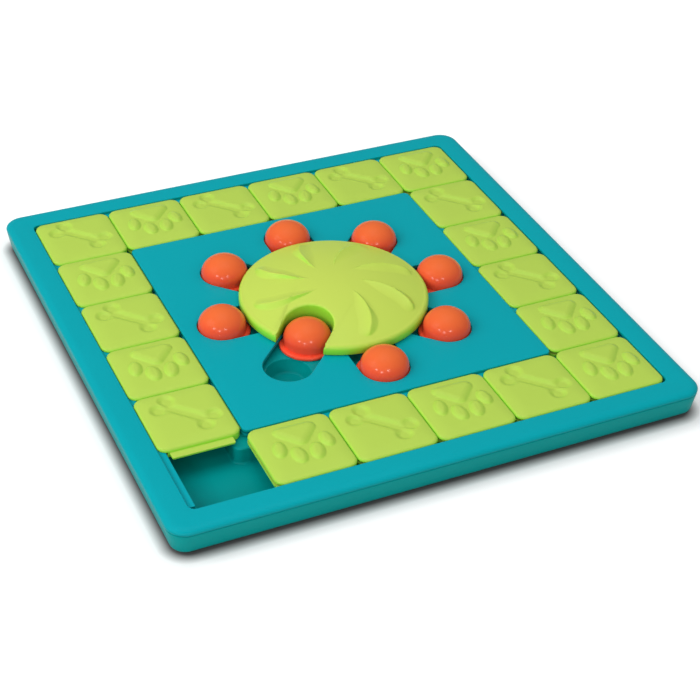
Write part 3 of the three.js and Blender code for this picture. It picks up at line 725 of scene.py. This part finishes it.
def bone_height(x, y):
    """Four round lobes joined by a shaft, turned 45 degrees and sunk by a smooth step."""
    c = math.sqrt(0.5)
    u = ((x - BONE_CENTRE[0]) - (y - BONE_CENTRE[1])) * c
    v = ((x - BONE_CENTRE[0]) + (y - BONE_CENTRE[1])) * c
    shaft = np.maximum(np.abs(u) - BONE_REACH, np.abs(v) - SHAFT_HALF)
    lobes = np.hypot(np.abs(u) - BONE_REACH, np.abs(v) - LOBE_SPREAD) - LOBE_RADIUS
    t = np.clip(SLOPE_SHIFT - soft_min(shaft, lobes, LOBE_FILLET) / BONE_SLOPE, 0, 1)
    return -BONE_DEPTH * t * t * (3 - 2 * t)


# %% Tile surface
TILE_CORNER, EDGE_ACROSS, EDGE_DROP = 6.2, 2.2, 1.7
CROWN_DROP, CROWN_START, CROWN_POWER = 0.65, 0.66, 2.2
GRID, CROWDING = 112, 0.35
ROOT = 1.5  # how far a tongue or a rail starts inside its wall
SLAB_STEPS = 6


def square_grid(count):
    """A grid over -1..1 whose lines crowd together a little towards the edges."""
    t = np.linspace(-1, 1, count)
    t = np.sin(t * np.pi / 2) * CROWDING + t * (1 - CROWDING)
    return np.meshgrid(t, t, indexing="xy")


def draw_in(x, y, half, corner):
    """Draws square rings in to round corners: past the corner's centre, a point moves back
    along its ray from there until it lies on the arc. Inner rings have smaller corners."""
    ring = np.maximum(np.abs(x), np.abs(y))
    radius = corner * (ring / half) ** 3
    cx, cy = np.abs(x) - (ring - radius), np.abs(y) - (ring - radius)
    both = (cx > 0) & (cy > 0)
    pull = np.maximum(cx, cy) / np.maximum(np.hypot(cx, cy), 1e-9)
    nx, ny = ring - radius + cx * pull, ring - radius + cy * pull
    return np.where(both, np.sign(x) * nx, x), np.where(both, np.sign(y) * ny, y)


def border(grid):
    """The outermost points of a square grid as one closed ring, anticlockwise."""
    return np.concatenate([grid[0, :-1], grid[:-1, -1], grid[-1, :0:-1], grid[:0:-1, 0]])


def slab(x0, x1, y0, y1, z0, z1, corner=1.2, edge=0.35):
    """A thin plate with round corners in plan and softened edges: rings carried up and over."""
    hx, hy, cx, cy = (x1 - x0) / 2, (y1 - y0) / 2, (x1 + x0) / 2, (y1 + y0) / 2
    profile = [(-3 * edge, z0)] + rounded(-edge, z0 + edge, edge, edge, 270, 360, 3)
    profile += rounded(-edge, z1 - edge, edge, edge, 0, 90, 3) + [(-3 * edge, z1)]
    rings = []
    for inset, z in profile:
        ring = []
        for i, (sx, sy) in enumerate([(1, -1), (1, 1), (-1, 1), (-1, -1)]):
            radius = max(corner + inset, 0.02)
            c, s = arc(90 * i - 90, 90 * i, SLAB_STEPS)
            px = cx + sx * (hx + inset - radius) + radius * c
            py = cy + sy * (hy + inset - radius) + radius * s
            ring.append(np.stack([px, py, np.full(SLAB_STEPS + 1, z)], -1))
        rings.append(np.concatenate(ring))
    return np.array(rings)


def capped(first, second):
    """The sheets of two slabs, and the flat faces that close them above and below."""
    sheets = [(first, True, False), (second, True, False)]
    return sheets, [first[0][::-1], first[-1], second[0][::-1], second[-1]]


def tile_sheets(relief):
    """A tile centred on (0, 0): the top grid, its side rings, its floor and its two tongues."""
    sx, sy = square_grid(GRID)
    half = TILE_HALF - EDGE_ACROSS
    x, y = draw_in(sx * half, sy * half, half, TILE_CORNER - EDGE_ACROSS)
    rim = np.maximum(np.abs(sx), np.abs(sy))
    fall = np.clip((rim - CROWN_START) / (1 - CROWN_START), 0, 1) ** CROWN_POWER
    z = TILE_TOP - CROWN_DROP * fall + (paw_height(x, y) if relief == "paw" else bone_height(x, y))
    top_grid = np.stack([x, y, z], -1)
    ring = border(top_grid)
    ox, oy = draw_in(sx * TILE_HALF, sy * TILE_HALF, TILE_HALF, TILE_CORNER)
    outer = border(np.stack([ox, oy, z], -1))
    rings = [ring]
    c, s = arc(90, 0, 7)
    for a, b in list(zip(c, s))[1:]:
        between = ring + (outer - ring) * a
        between[:, 2] = ring[:, 2] - EDGE_DROP * (1 - b)
        rings.append(between)
    sunk = outer.copy()
    sunk[:, 0] = np.maximum(sunk[:, 0], GROOVE_DEPTH - TILE_HALF)
    sunk[:, 1] = np.minimum(sunk[:, 1], TILE_HALF - GROOVE_DEPTH)
    groove = [(outer, GROOVE_HIGH), (sunk, GROOVE_HIGH), (sunk, GROOVE_LOW), (outer, GROOVE_LOW)]
    for source, height in groove + [(outer, SLIDE_LEVEL)]:
        lower = source.copy()
        lower[:, 2] = height
        rings.append(lower)
    root, tip, end = TILE_HALF - ROOT, TILE_HALF + TONGUE_REACH, TILE_HALF - TONGUE_INSET
    tongues, caps = capped(
        slab(-end, end, -tip, -root, TONGUE_LOW, TONGUE_HIGH),
        slab(root, tip, -end, end, TONGUE_LOW, TONGUE_HIGH),
    )
    sheets = [(top_grid, False, False), (np.array(rings), True, True)]
    return sheets + tongues, [rings[-1][::-1]] + caps


# %% Tiles in their rows
# Each row has its reliefs, the place of its first tile and the way to the next, in places.
TILES = {relief: tile_sheets(relief) for relief in ("paw", "bone")}
ROWS = {
    "left": (["bone", "paw", "bone", "paw", "bone"], (-2.5, -1.5), (0, 1)),
    "back": (["paw", "bone", "paw", "bone", "paw"], (-1.5, 2.5), (1, 0)),
    "right": (["bone", "paw", "bone", "paw"], (2.5, 1.5), (0, -1)),
    "front": (["paw", "bone", "paw", "bone", "paw"], (-1.5, -2.5), (1, 0)),
}
for row, (reliefs, first, way) in ROWS.items():
    for i, relief in enumerate(reliefs):
        shift = np.array([first[0] + i * way[0], first[1] + i * way[1], 0]) * PITCH
        sheets, caps = TILES[relief]
        moved = [(grid + shift, closed, flipped) for grid, closed, flipped in sheets]
        flats = [cap + shift for cap in caps]
        node = "tile_%s_%d" % (row, i + 1)
        piece(node + "_" + relief, moved, LIME, node, [node], flats=flats)
print("tile top grid:", GRID, "x", GRID)

# %% [markdown]
# ## Square rings
#
# The frame, the deck's edge and the tray are one idea: a profile carried round a square with
# round corners. Each ring of points is a square of its own half width and corner, cut into
# eight pieces by the lines halfway between the knobs' slots, so that the flat sheets round the
# slots can meet it point for point. A curve with a bevel profile would be quicker to set up,
# but its points would fall elsewhere.

# %% Perimeter rings
AXIS_STEPS, SIDE_STEPS, CORNER_STEPS = 24, 9, 14
SPLIT = math.tan(math.radians(EIGHTH / 2))
RIGHT, FRONT = (0, 1), (1, -1)  # a side as the axis across it and its sign


def perimeter(half, corner, z):
    """One ring round a square: straight pieces that cross the axes, and corner pieces that run
    along a side, round the corner's arc and along the next side."""
    corner = max(corner, 0.0)
    axis_y = np.linspace(-SPLIT * half, SPLIT * half, AXIS_STEPS + 1)[:-1]
    axis = np.stack([np.full(AXIS_STEPS, half), axis_y], -1)
    up = np.linspace(SPLIT * half, half - corner, SIDE_STEPS + 1)[:-1]
    c, s = arc(0, 90, CORNER_STEPS)
    bend = np.stack([half - corner + corner * c, half - corner + corner * s], -1)[:-1]
    back_y = np.linspace(half - corner, SPLIT * half, SIDE_STEPS + 1)[:-1]
    quarter = np.concatenate([
        axis,
        np.stack([np.full(SIDE_STEPS, half), up], -1),
        bend,
        np.stack([back_y, np.full(SIDE_STEPS, half)], -1),
    ])
    rings = []
    for k in range(4):
        c, s = round(math.cos(k * math.pi / 2)), round(math.sin(k * math.pi / 2))
        rings.append(quarter @ np.array([[c, s], [-s, c]]))
    ring = np.concatenate(rings)
    return np.concatenate([ring, np.full((len(ring), 1), float(z))], -1)


def pushed(ring, by, sides):
    """A ring whose points on the named sides are moved outwards by a distance."""
    moved = ring.copy()
    half = np.abs(ring[:, :2]).max()
    for axis, sign in sides:
        on_side = ring[:, axis] * sign > half - 0.01
        moved[on_side, axis] += sign * by
    return moved


def swept(rows):
    """A sheet from rows of (half, corner, height)."""
    return np.array([perimeter(half, corner, z) for half, corner, z in rows])


print("points round a ring:", len(perimeter(FRAME_HALF, 0, 0)))

# %% [markdown]
# ## The frame
#
# The bright teal ring round the tiles has a broad, soft outer edge and a small radius inside.
# Its left and back walls carry a thin rail, and its front and right walls a groove for the
# tiles' tongues. It is open below, over the tray's shelf. A square with a bevel would round
# every edge alike, so the profile is written out: its rows run from the foot of the inner
# wall up, across, down outside and back inside.

# %% Frame
EDGE_WIDTH, EDGE_FALL = 5.0, 2.6
FRAME_CORNER, FIELD_CORNER = 12.0, 4.0
LIP, WALL, RAIL_CORNER = 0.6, 2.4, 0.6

low, high = (perimeter(FIELD_HALF, FIELD_CORNER, z) for z in (GROOVE_LOW, GROOVE_HIGH))
groove = [pushed(ring, GROOVE_DEPTH, [FRONT, RIGHT]) for ring in (low, high)]
frame_rows = softened(FIELD_HALF, FIELD_CORNER, DECK_TOP, LIP, -LIP, 0, 90, 5)
frame_rows += [
    (x, FRAME_CORNER - (FRAME_HALF - x), z)
    for x, z in rounded(FRAME_HALF - EDGE_WIDTH, DECK_TOP - EDGE_FALL, EDGE_WIDTH, EDGE_FALL, 90, 0, 14)
]
frame_rows += softened(FRAME_HALF, FRAME_CORNER, FRAME_LOW, -LIP, LIP, 0, 90, 5)
frame_rows += [(FRAME_HALF - WALL, FRAME_CORNER - WALL, z) for z in (FRAME_LOW, FRAME_UNDER)]
frame_rows += [(FIELD_HALF + GROOVE_DEPTH + WALL, 0, z) for z in (FRAME_UNDER, SLIDE_LEVEL)]
wall_foot = perimeter(FIELD_HALF, FIELD_CORNER, SLIDE_LEVEL)
frame_sheet = np.array([wall_foot, low, *groove, high, *swept(frame_rows), wall_foot])
run, root, tip = FIELD_HALF - RAIL_END, FIELD_HALF + ROOT, FIELD_HALF - RAIL_REACH
rails, rail_caps = capped(
    slab(-root, -tip, -run, run, TONGUE_LOW, TONGUE_HIGH, RAIL_CORNER),
    slab(-run, run, tip, root, TONGUE_LOW, TONGUE_HIGH, RAIL_CORNER),
)
piece(
    "top_frame_ring", [(frame_sheet, True, True)] + rails,
    TEAL, "board", ["top_frame"], flats=rail_caps,
)
print("frame ring:", frame_sheet.shape[:2])

# %% [markdown]
# ## The deck
#
# The middle is a thin plate with eight slots, on a wall that the tiles' tongues run along. A
# flat plate with holes is easy to get with a boolean, but its edges are then hard to round. It
# is cut here like a cake: each slice holds one slot, and a sheet of points runs from the
# slot's rounded edge out to the slice's border.

# %% Slices round the slots
LINE_STEPS, INNER_STEPS = 30, 12
CUP_SPREAD = 50  # half the arc of a round cup that faces the border or the hub, in degrees


def slice_outer(k, half, corner):
    """The outer border of slice k, along the square, in the slice's own turned frame."""
    ring = perimeter(half, corner, 0)[:, :2]
    diagonal = k % 2
    start, count = (AXIS_STEPS, 2 * SIDE_STEPS + CORNER_STEPS) if diagonal else (0, AXIS_STEPS)
    part = ring[start:start + count + 1]
    if diagonal:
        c = math.sqrt(0.5)
        part = part @ np.array([[c, -c], [c, c]])
    return part


def slice_border(k, half, corner, hub):
    """The slice's whole border, in four runs: outer, one straight side in, hub arc, side out."""
    outer = slice_outer(k, half, corner)
    c, s = arc(EIGHTH / 2, -EIGHTH / 2, INNER_STEPS)
    inner = np.stack([hub * c, hub * s], -1)
    t = np.linspace(0, 1, LINE_STEPS + 1)[:, None]
    going_in = outer[-1] * (1 - t) + inner[0] * t
    going_out = inner[-1] * (1 - t) + outer[0] * t
    return np.concatenate([outer[:-1], going_in[:-1], inner[:-1], going_out[:-1]])


def hole_edge(k, near, far, half):
    """A slot's or a cup's outline with the same four runs: far arc, side, near arc, side."""
    outer_count = 2 * SIDE_STEPS + CORNER_STEPS if k % 2 else AXIS_STEPS
    spread = 90 if far > near else CUP_SPREAD

    def bow(middle, start, stop, count):
        """Points of an arc round (middle, 0) whose radius is the hole's half width."""
        c, s = arc(start, stop, count)
        return np.stack([middle + half * c, half * s], -1)

    far_arc = bow(far, -spread, spread, outer_count)
    near_arc = bow(near, 180 - spread, 180 + spread, INNER_STEPS)
    if far > near:
        t = np.linspace(0, 1, LINE_STEPS + 1)[:, None]
        side_in = far_arc[-1] * (1 - t) + near_arc[0] * t
        side_out = near_arc[-1] * (1 - t) + far_arc[0] * t
    else:
        side_in = bow(far, spread, 180 - spread, LINE_STEPS)
        side_out = bow(far, 180 + spread, 360 - spread, LINE_STEPS)
    return np.concatenate([far_arc[:-1], side_in[:-1], near_arc[:-1], side_out[:-1]])


def turned_to(k, ring, z):
    """A slice's ring turned to its own direction and put at a height."""
    angle = math.radians(EIGHTH * k)
    c, s = math.cos(angle), math.sin(angle)
    flat = ring @ np.array([[c, s], [-s, c]])
    return np.concatenate([flat, np.full((len(flat), 1), float(z))], -1)


def slice_sheet(k, hole_rows, before, after):
    """Rows of a slice: the border `before`, the hole's rows, and the border `after`.

    A border is (half, corner, hub, height); a hole row is (near, far, half width, height).
    Between a border and the hole the points go straight across, in four equal steps.
    """
    holes = [turned_to(k, hole_edge(k, near, far, half), z) for near, far, half, z in hole_rows]
    rows = []
    if before is not None:
        edge = turned_to(k, slice_border(k, *before[:3]), before[3])
        rows += [edge + (holes[0] - edge) * t for t in (0, 0.25, 0.5, 0.75)]
    rows += holes
    if after is not None:
        edge = turned_to(k, slice_border(k, *after[:3]), after[3])
        rows += [holes[-1] + (edge - holes[-1]) * t for t in (0.25, 0.5, 0.75, 1)]
    return np.array(rows)


def hub_rings(profile):
    """Rings of (radius, height) round the middle, on the slices' own hub points, clockwise."""
    rings = []
    for radius, z in profile:
        ring = []
        for k in range(7, -1, -1):
            c, s = arc((k + 0.5) * EIGHTH, (k - 0.5) * EIGHTH, INNER_STEPS)
            ring.append(np.stack([radius * c, radius * s, np.full(INNER_STEPS + 1, z)], -1)[:-1])
        rings.append(np.concatenate(ring))
    return np.array(rings)


# %% Deck slices
DECK_CORNER, DECK_ROUND, SLOT_ROUND, HUB_HOLE = 3.5, 0.7, 0.6, 9.6
SLOT_NEAR = KNOB_IN - 0.3

slot_rows = [(SLOT_NEAR, KNOB_PARK, SLOT_HALF, DECK_UNDER)]
slot_rows += [
    (SLOT_NEAR, KNOB_PARK, half, z)
    for half, _, z in softened(SLOT_HALF, 0, DECK_TOP, SLOT_ROUND, -SLOT_ROUND, 0, 90, 6)
]
under = (DECK_WALL_INNER, 0, HUB_HOLE, DECK_UNDER)
over = (DECK_HALF - DECK_ROUND, DECK_CORNER - DECK_ROUND, HUB_HOLE, DECK_TOP)
slices = [(slice_sheet(k, slot_rows, under, over), True, True) for k in range(8)]
print("deck slices:", slices[0][0].shape, slices[1][0].shape)

# %% Deck wall and rails


def sunk_groove(ring):
    """The groove's bottom: points left of it or behind it are brought in to its depth."""
    deep = ring.copy()
    deep[:, 0] = np.maximum(deep[:, 0], GROOVE_DEPTH - DECK_HALF)
    deep[:, 1] = np.minimum(deep[:, 1], DECK_HALF - GROOVE_DEPTH)
    return deep


edge = softened(DECK_HALF, DECK_CORNER, DECK_TOP, -DECK_ROUND, -DECK_ROUND, 90, 0, 6)
low, high = (perimeter(DECK_HALF, DECK_CORNER, z) for z in (GROOVE_LOW, GROOVE_HIGH))
foot = [
    (DECK_HALF, DECK_CORNER, SLIDE_LEVEL),
    (DECK_WALL_INNER, 0, SLIDE_LEVEL),
    (DECK_WALL_INNER, 0, DECK_UNDER),
]
skirt = np.array([*swept(edge), high, sunk_groove(high), sunk_groove(low), low, *swept(foot)])
hub_wall = hub_rings([(HUB_HOLE, DECK_UNDER), (HUB_HOLE, DECK_TOP)])
run, root, tip = DECK_HALF - GROOVE_DEPTH, DECK_HALF - ROOT, DECK_HALF + RAIL_REACH
rails, rail_caps = capped(
    slab(-run, run, -tip, -root, TONGUE_LOW, TONGUE_HIGH, RAIL_CORNER),
    slab(root, tip, -run, run, TONGUE_LOW, TONGUE_HIGH, RAIL_CORNER),
)
piece(
    "centre_deck_plate", slices + [(skirt, True, True), (hub_wall, True, False)] + rails,
    TEAL, "board", ["centre_deck"], flats=rail_caps,
)
print("deck wall:", skirt.shape[:2])

# %% [markdown]
# ## The tray
#
# The lower shell is one moulding: a side that leans in to a rounded foot, a shelf, a food
# trough all round, and a raised middle with eight treat cups. The same slices make the raised
# middle, with a round cup in each, and the rest is one profile carried round the square. Cups
# cut with booleans would have hard rims. Here a soft rim is only a few more rows.

# %% Raised middle and its cups
PLATEAU_CORNER, TOP_ROUND, LEDGE_ROUND, TROUGH_WALL = 5.0, 1.2, 0.8, 2.2
CUP_RIM, CUP_BASE, CUP_FLOOR, CUP_FILLET = 13.5, 10.5, 5.5, 1.8
CUP_UNDER = [(15.5, SHELF_UNDER), (12.5, 3.5), (11.5, 3.0), (0.0, 3.0)]
WELL_INSIDE, WELL_FLOOR = 7.0, 10.7
WELL_OUTSIDE, WELL_UNDER = 9.0, 8.7


def cup_rows():
    """A cup as (radius, height): a flat floor, a fillet, a wall that leans out on the way up,
    and a soft rim."""
    depth = LEDGE_TOP - LEDGE_ROUND - CUP_FLOOR
    lean = math.atan2(CUP_RIM - CUP_BASE, depth)
    drop = (depth - CUP_FILLET) * math.sin(lean)
    centre = CUP_RIM - (drop + CUP_FILLET) / math.cos(lean)
    rows = [(centre * share, CUP_FLOOR) for share in np.linspace(0, 1, 8)[:-1]]
    stop = 360 - math.degrees(lean)
    rows += rounded(centre, CUP_FLOOR + CUP_FILLET, CUP_FILLET, CUP_FILLET, 270, stop, 8)
    rim = softened(CUP_RIM, 0, LEDGE_TOP, LEDGE_ROUND, -LEDGE_ROUND, 0, 90, 5)
    return rows + [(radius, z) for radius, _, z in rim]


def middle_slices(profile, before, after):
    """Eight slices with one round cup each, from its rows of (radius, height)."""
    cup = [(KNOB_PARK, KNOB_PARK, radius, z) for radius, z in profile]
    return [(slice_sheet(k, cup, before, after), True, True) for k in range(8)]


over = (PLATEAU_HALF - TOP_ROUND, PLATEAU_CORNER - TOP_ROUND, WELL_INSIDE, LEDGE_TOP)
under = (PLATEAU_HALF - TROUGH_WALL, PLATEAU_CORNER, WELL_OUTSIDE, SHELF_UNDER)
middle = middle_slices(cup_rows(), None, over) + middle_slices(CUP_UNDER, under, None)
well_top = hub_rings([(WELL_INSIDE, LEDGE_TOP), (WELL_INSIDE, WELL_FLOOR), (0, WELL_FLOOR)])
well_under = hub_rings([(WELL_OUTSIDE, SHELF_UNDER), (WELL_OUTSIDE, WELL_UNDER), (0, WELL_UNDER)])
print("cup rows:", len(cup_rows()))

# %% Trough, shelf and side
TROUGH_CORNER, TRAY_CORNER = 6.0, 11.1
PLATEAU_FOOT, TROUGH_FOOT = 1.5, 2.0
TRAY_DRAFT, TRAY_WALL, FOOT_ROUND, SEAM_ROUND = 2.2, 2.4, 3.2, 0.9


def tray_side(z):
    """The leaning side's half width at a height."""
    return TRAY_HALF - TRAY_DRAFT * (TRAY_WALL_TOP - z) / (TRAY_WALL_TOP - TRAY_UNDER)


rows = softened(PLATEAU_HALF, PLATEAU_CORNER, LEDGE_TOP, -TOP_ROUND, -TOP_ROUND, 90, 0, 6)
rows += softened(PLATEAU_HALF, PLATEAU_CORNER, FLOOR_TOP, PLATEAU_FOOT, PLATEAU_FOOT, 0, 90, 6)
rows += softened(TROUGH_HALF, TROUGH_CORNER, FLOOR_TOP, -TROUGH_FOOT, TROUGH_FOOT, 90, 0, 6)
rows += softened(TROUGH_HALF, TROUGH_CORNER, LEDGE_TOP, LEDGE_ROUND, -LEDGE_ROUND, 0, 90, 4)
rows += [(TRAY_HALF - TRAY_WALL, TRAY_CORNER - TRAY_WALL, z) for z in (LEDGE_TOP, TRAY_WALL_TOP)]
rows += softened(TRAY_HALF, TRAY_CORNER, TRAY_WALL_TOP, -SEAM_ROUND, -SEAM_ROUND, 90, 0, 5)
for c, s in zip(*arc(0, 90, 10)):
    z = TRAY_UNDER + FOOT_ROUND * (1 - s)
    half = tray_side(z) - FOOT_ROUND * (1 - c)
    rows.append((half, TRAY_CORNER - (TRAY_HALF - half), z))
# Below, the rows go up inside the side to the shelf, and round the trough's underside.
foot_in = tray_side(TRAY_UNDER) - TRAY_WALL - FOOT_ROUND
rows += [
    (foot_in, 2.0, TRAY_UNDER),
    (foot_in, 2.0, TRAY_UNDER + FOOT_ROUND),
    (tray_side(4) - TRAY_WALL, 5.0, TRAY_UNDER + FOOT_ROUND),
    (tray_side(11) - TRAY_WALL, 5.5, SHELF_UNDER),
    (TROUGH_HALF + TROUGH_WALL, 0, SHELF_UNDER),
    (TROUGH_HALF + TROUGH_WALL, 0, TRAY_UNDER),
    (PLATEAU_HALF - TROUGH_WALL, PLATEAU_CORNER, TRAY_UNDER),
    (PLATEAU_HALF - TROUGH_WALL, PLATEAU_CORNER, SHELF_UNDER),
]
tray_sheet = swept(rows)
piece(
    "base_tray_shell",
    middle + [(tray_sheet, True, True), (well_top, True, True), (well_under, True, False)],
    DEEP_TEAL, "board", ["base_tray"],
)
print("tray rows:", tray_sheet.shape[:2])

# %% [markdown]
# ## The wheel
#
# The wheel is a shallow dome with a round rim and one notch that a knob fits in. Its face has
# seven curved ridges for the fingers to push, like the petals of a turned flower. A heightfield
# over a square grid would leave steps along the notch, so the grid here grows from the outline
# itself: one way runs round the rim and through the notch, and the other runs in from it to a
# small circle, the core, and on to the middle.

# %% Wheel outline
NOTCH_HALF, NOTCH_CENTRE = 15.4, 43.6
BOTTOM_STEPS, NOTCH_STEPS, RIM_STEPS = 40, 24, 200
# The core's radius, and how its points are shared out: up to the first angle they belong to
# the notch's bottom, up to the second to its side, and then to the rim, where the power sets
# them a little further apart near the notch.
CORE, CORE_BOTTOM, CORE_SIDE, CORE_POWER = 22.0, 52, 62, 0.85


def wheel_outline():
    """The outline with its notch on +X, from the notch's bottom round the rim and back, with
    the angle on the core circle that each point's line runs in to."""
    c, s = arc(180, 90, BOTTOM_STEPS)
    bottom = np.stack([NOTCH_CENTRE + NOTCH_HALF * c, NOTCH_HALF * s], -1)
    mouth = math.sqrt(WHEEL_RADIUS**2 - NOTCH_HALF**2)
    turn = math.degrees(math.atan2(NOTCH_HALF, mouth))
    side_x = np.linspace(NOTCH_CENTRE, mouth, NOTCH_STEPS + 1)[1:]
    side = np.stack([side_x, np.full(NOTCH_STEPS, NOTCH_HALF)], -1)
    c, s = arc(turn, 180, RIM_STEPS)
    rim_part = np.stack([WHEEL_RADIUS * c, WHEEL_RADIUS * s], -1)[1:]
    half_line = np.concatenate([bottom, side, rim_part])
    core = np.concatenate([
        np.linspace(0, CORE_BOTTOM, BOTTOM_STEPS + 1),
        np.linspace(CORE_BOTTOM, CORE_SIDE, NOTCH_STEPS + 1)[1:],
        CORE_SIDE + (180 - CORE_SIDE) * np.linspace(0, 1, RIM_STEPS + 1)[1:] ** CORE_POWER,
    ])
    points = np.concatenate([half_line, (half_line * [1, -1])[-2:0:-1]])
    angles = np.concatenate([core, -core[-2:0:-1]])
    return points, np.radians(angles)


outline, core_angle = wheel_outline()
print("points round the wheel:", len(outline))

# %% Wheel face
DOME_RISE, RIM_TOP, RIM_ROUND, NOTCH_ROUND = 9.3, 25.7, 3.0, 1.5
CREST_START, CREST_LEAN, CREST_CURL, CREST_SHARE = 12.3, 27.0, 24.0, 0.7
RIDGE_START, RIDGE_FULL, RIDGE_TAIL, RIDGE_END = 16.0, 37.0, 47.0, 53.0
RIDGE_HEIGHT, GENTLE_WIDTH, GENTLE_SHARE = 2.4, 8.5, 0.35
STEEP_WIDTH, STEEP_FULL, STEEP_START, STEEP_GROWTH, STEEP_POWER = 1.2, 5.2, 29, 17, 1.15


def ridge(x, y):
    """The height of the curved ridges at a point, in millimetres.

    Each crest is a spiral: its angle falls behind as the radius grows, and faster past the
    radius of its start angle. On one side of the crest the ridge falls gently, as a parabola,
    and on the other steeply and almost straight. Both swell from a point and close at the end.
    """
    radius = np.hypot(x, y)
    past = radius / PITCH - CREST_SHARE
    crest = CREST_START - CREST_LEAN * past - CREST_CURL * np.maximum(past, 0) ** 2
    behind = np.degrees(np.arctan2(y, x)) - crest
    place = np.round(behind / EIGHTH)
    across = np.radians(behind - EIGHTH * place) * radius
    grown = np.sin(np.clip((radius - RIDGE_START) / (RIDGE_FULL - RIDGE_START), 0, 1) * np.pi / 2)
    tail = np.clip((radius - RIDGE_TAIL) / (RIDGE_END - RIDGE_TAIL), 0, 1)
    grown = grown * np.sqrt(1 - tail**2)
    late = np.clip((radius - STEEP_START) / STEEP_GROWTH, 0, 1)
    steep = (STEEP_WIDTH + (STEEP_FULL - STEEP_WIDTH) * late * late * (3 - 2 * late)) * grown
    gentle = GENTLE_WIDTH * grown
    width = np.maximum(np.where(across > 0, steep, gentle), 0.05)
    t = np.clip(1 - np.abs(across) / width, 0, 1)
    gentle_fall = GENTLE_SHARE * t + (1 - GENTLE_SHARE) * t * t
    profile = np.where(across > 0, t**STEEP_POWER, gentle_fall)
    return np.where(place % 8 == NOTCH, 0, RIDGE_HEIGHT * grown * profile)


def dome_height(x, y):
    """The dome: highest in the middle, falling with the square of the radius."""
    out = np.hypot(x, y) / (WHEEL_RADIUS - RIM_ROUND)
    return RIM_TOP + DOME_RISE * (1 - out**2)


def face(x, y):
    """The height of the wheel's face: the dome with its ridges."""
    return dome_height(x, y) + ridge(x, y)


print("face in the middle, at the rim:", face(np.array([0.0, WHEEL_RADIUS]), np.zeros(2)).round(2))

# %% Wheel
ROUND_CHANGE = 3.0  # over this last part of the radius the notch's rounding becomes the rim's
UNDER_EDGE, HUB_RADIUS = 0.4, 9.0
CORE_RINGS, FACE_RINGS = 12, 76

turn = math.radians(EIGHTH * NOTCH)
cos_turn, sin_turn = math.cos(turn), math.sin(turn)
tangent = np.roll(outline, -1, axis=0) - np.roll(outline, 1, axis=0)
inward = np.stack([-tangent[:, 1], tangent[:, 0]], -1)
inward /= np.linalg.norm(inward, axis=1, keepdims=True)
core = np.stack([CORE * np.cos(core_angle), CORE * np.sin(core_angle)], -1)


def wheel_ring(xy, z):
    """A ring turned so that the notch faces its knob, at a height or heights."""
    x = xy[:, 0] * cos_turn - xy[:, 1] * sin_turn
    y = xy[:, 0] * sin_turn + xy[:, 1] * cos_turn
    height = z(x, y) if callable(z) else np.full(len(xy), float(z))
    return np.stack([x, y, height], -1)


beyond = (np.hypot(*outline.T)[:, None] - (WHEEL_RADIUS - ROUND_CHANGE)) / ROUND_CHANGE
edge_round = NOTCH_ROUND + (RIM_ROUND - NOTCH_ROUND) * np.clip(beyond, 0, 1)
first = outline + inward * edge_round
rings = [wheel_ring(core * t, face) for t in np.linspace(0, 1, CORE_RINGS)[:-1]]
rings += [wheel_ring(core + (first - core) * t, face) for t in np.linspace(0, 1, FACE_RINGS)]
edge = rings[-1][:, 2]
for c, s in list(zip(*arc(90, 0, 8)))[1:]:
    ring = wheel_ring(outline + inward * edge_round * (1 - c), 0)
    ring[:, 2] = edge - edge_round[:, 0] * (1 - s)
    rings.append(ring)
hub = core * (HUB_RADIUS / CORE)
for xy, z in [
    (outline, WHEEL_LOW + UNDER_EDGE),
    (outline + inward * UNDER_EDGE, WHEEL_LOW),
    (core, WHEEL_LOW),
    (hub, WHEEL_LOW),
    (hub, DECK_UNDER),
    (core * 0, DECK_UNDER),
]:
    rings.append(wheel_ring(xy, z))
piece(
    "swirl_wheel_dome", [(np.array(rings), True, True)],
    LIME_WHEEL, "wheel", ["swirl_wheel"], crisp=50,
)
print("wheel grid:", len(rings), "x", len(outline))

# %% [markdown]
# ## Feet and screws
#
# These show only from below. They could be modelled again with finer threads and edges, but
# nobody would see it, so the CAD pieces keep their shape and get the right finish.

# %% Finishes for the small pieces
for node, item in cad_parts.items():
    finish = None
    if node.startswith("foot_"):
        finish = RUBBER
    elif "screw" in node or node == "wheel_retainer":
        finish = STEEL
    if finish is not None:
        item.data.materials.clear()
        item.data.materials.append(finish)
print("small pieces done")
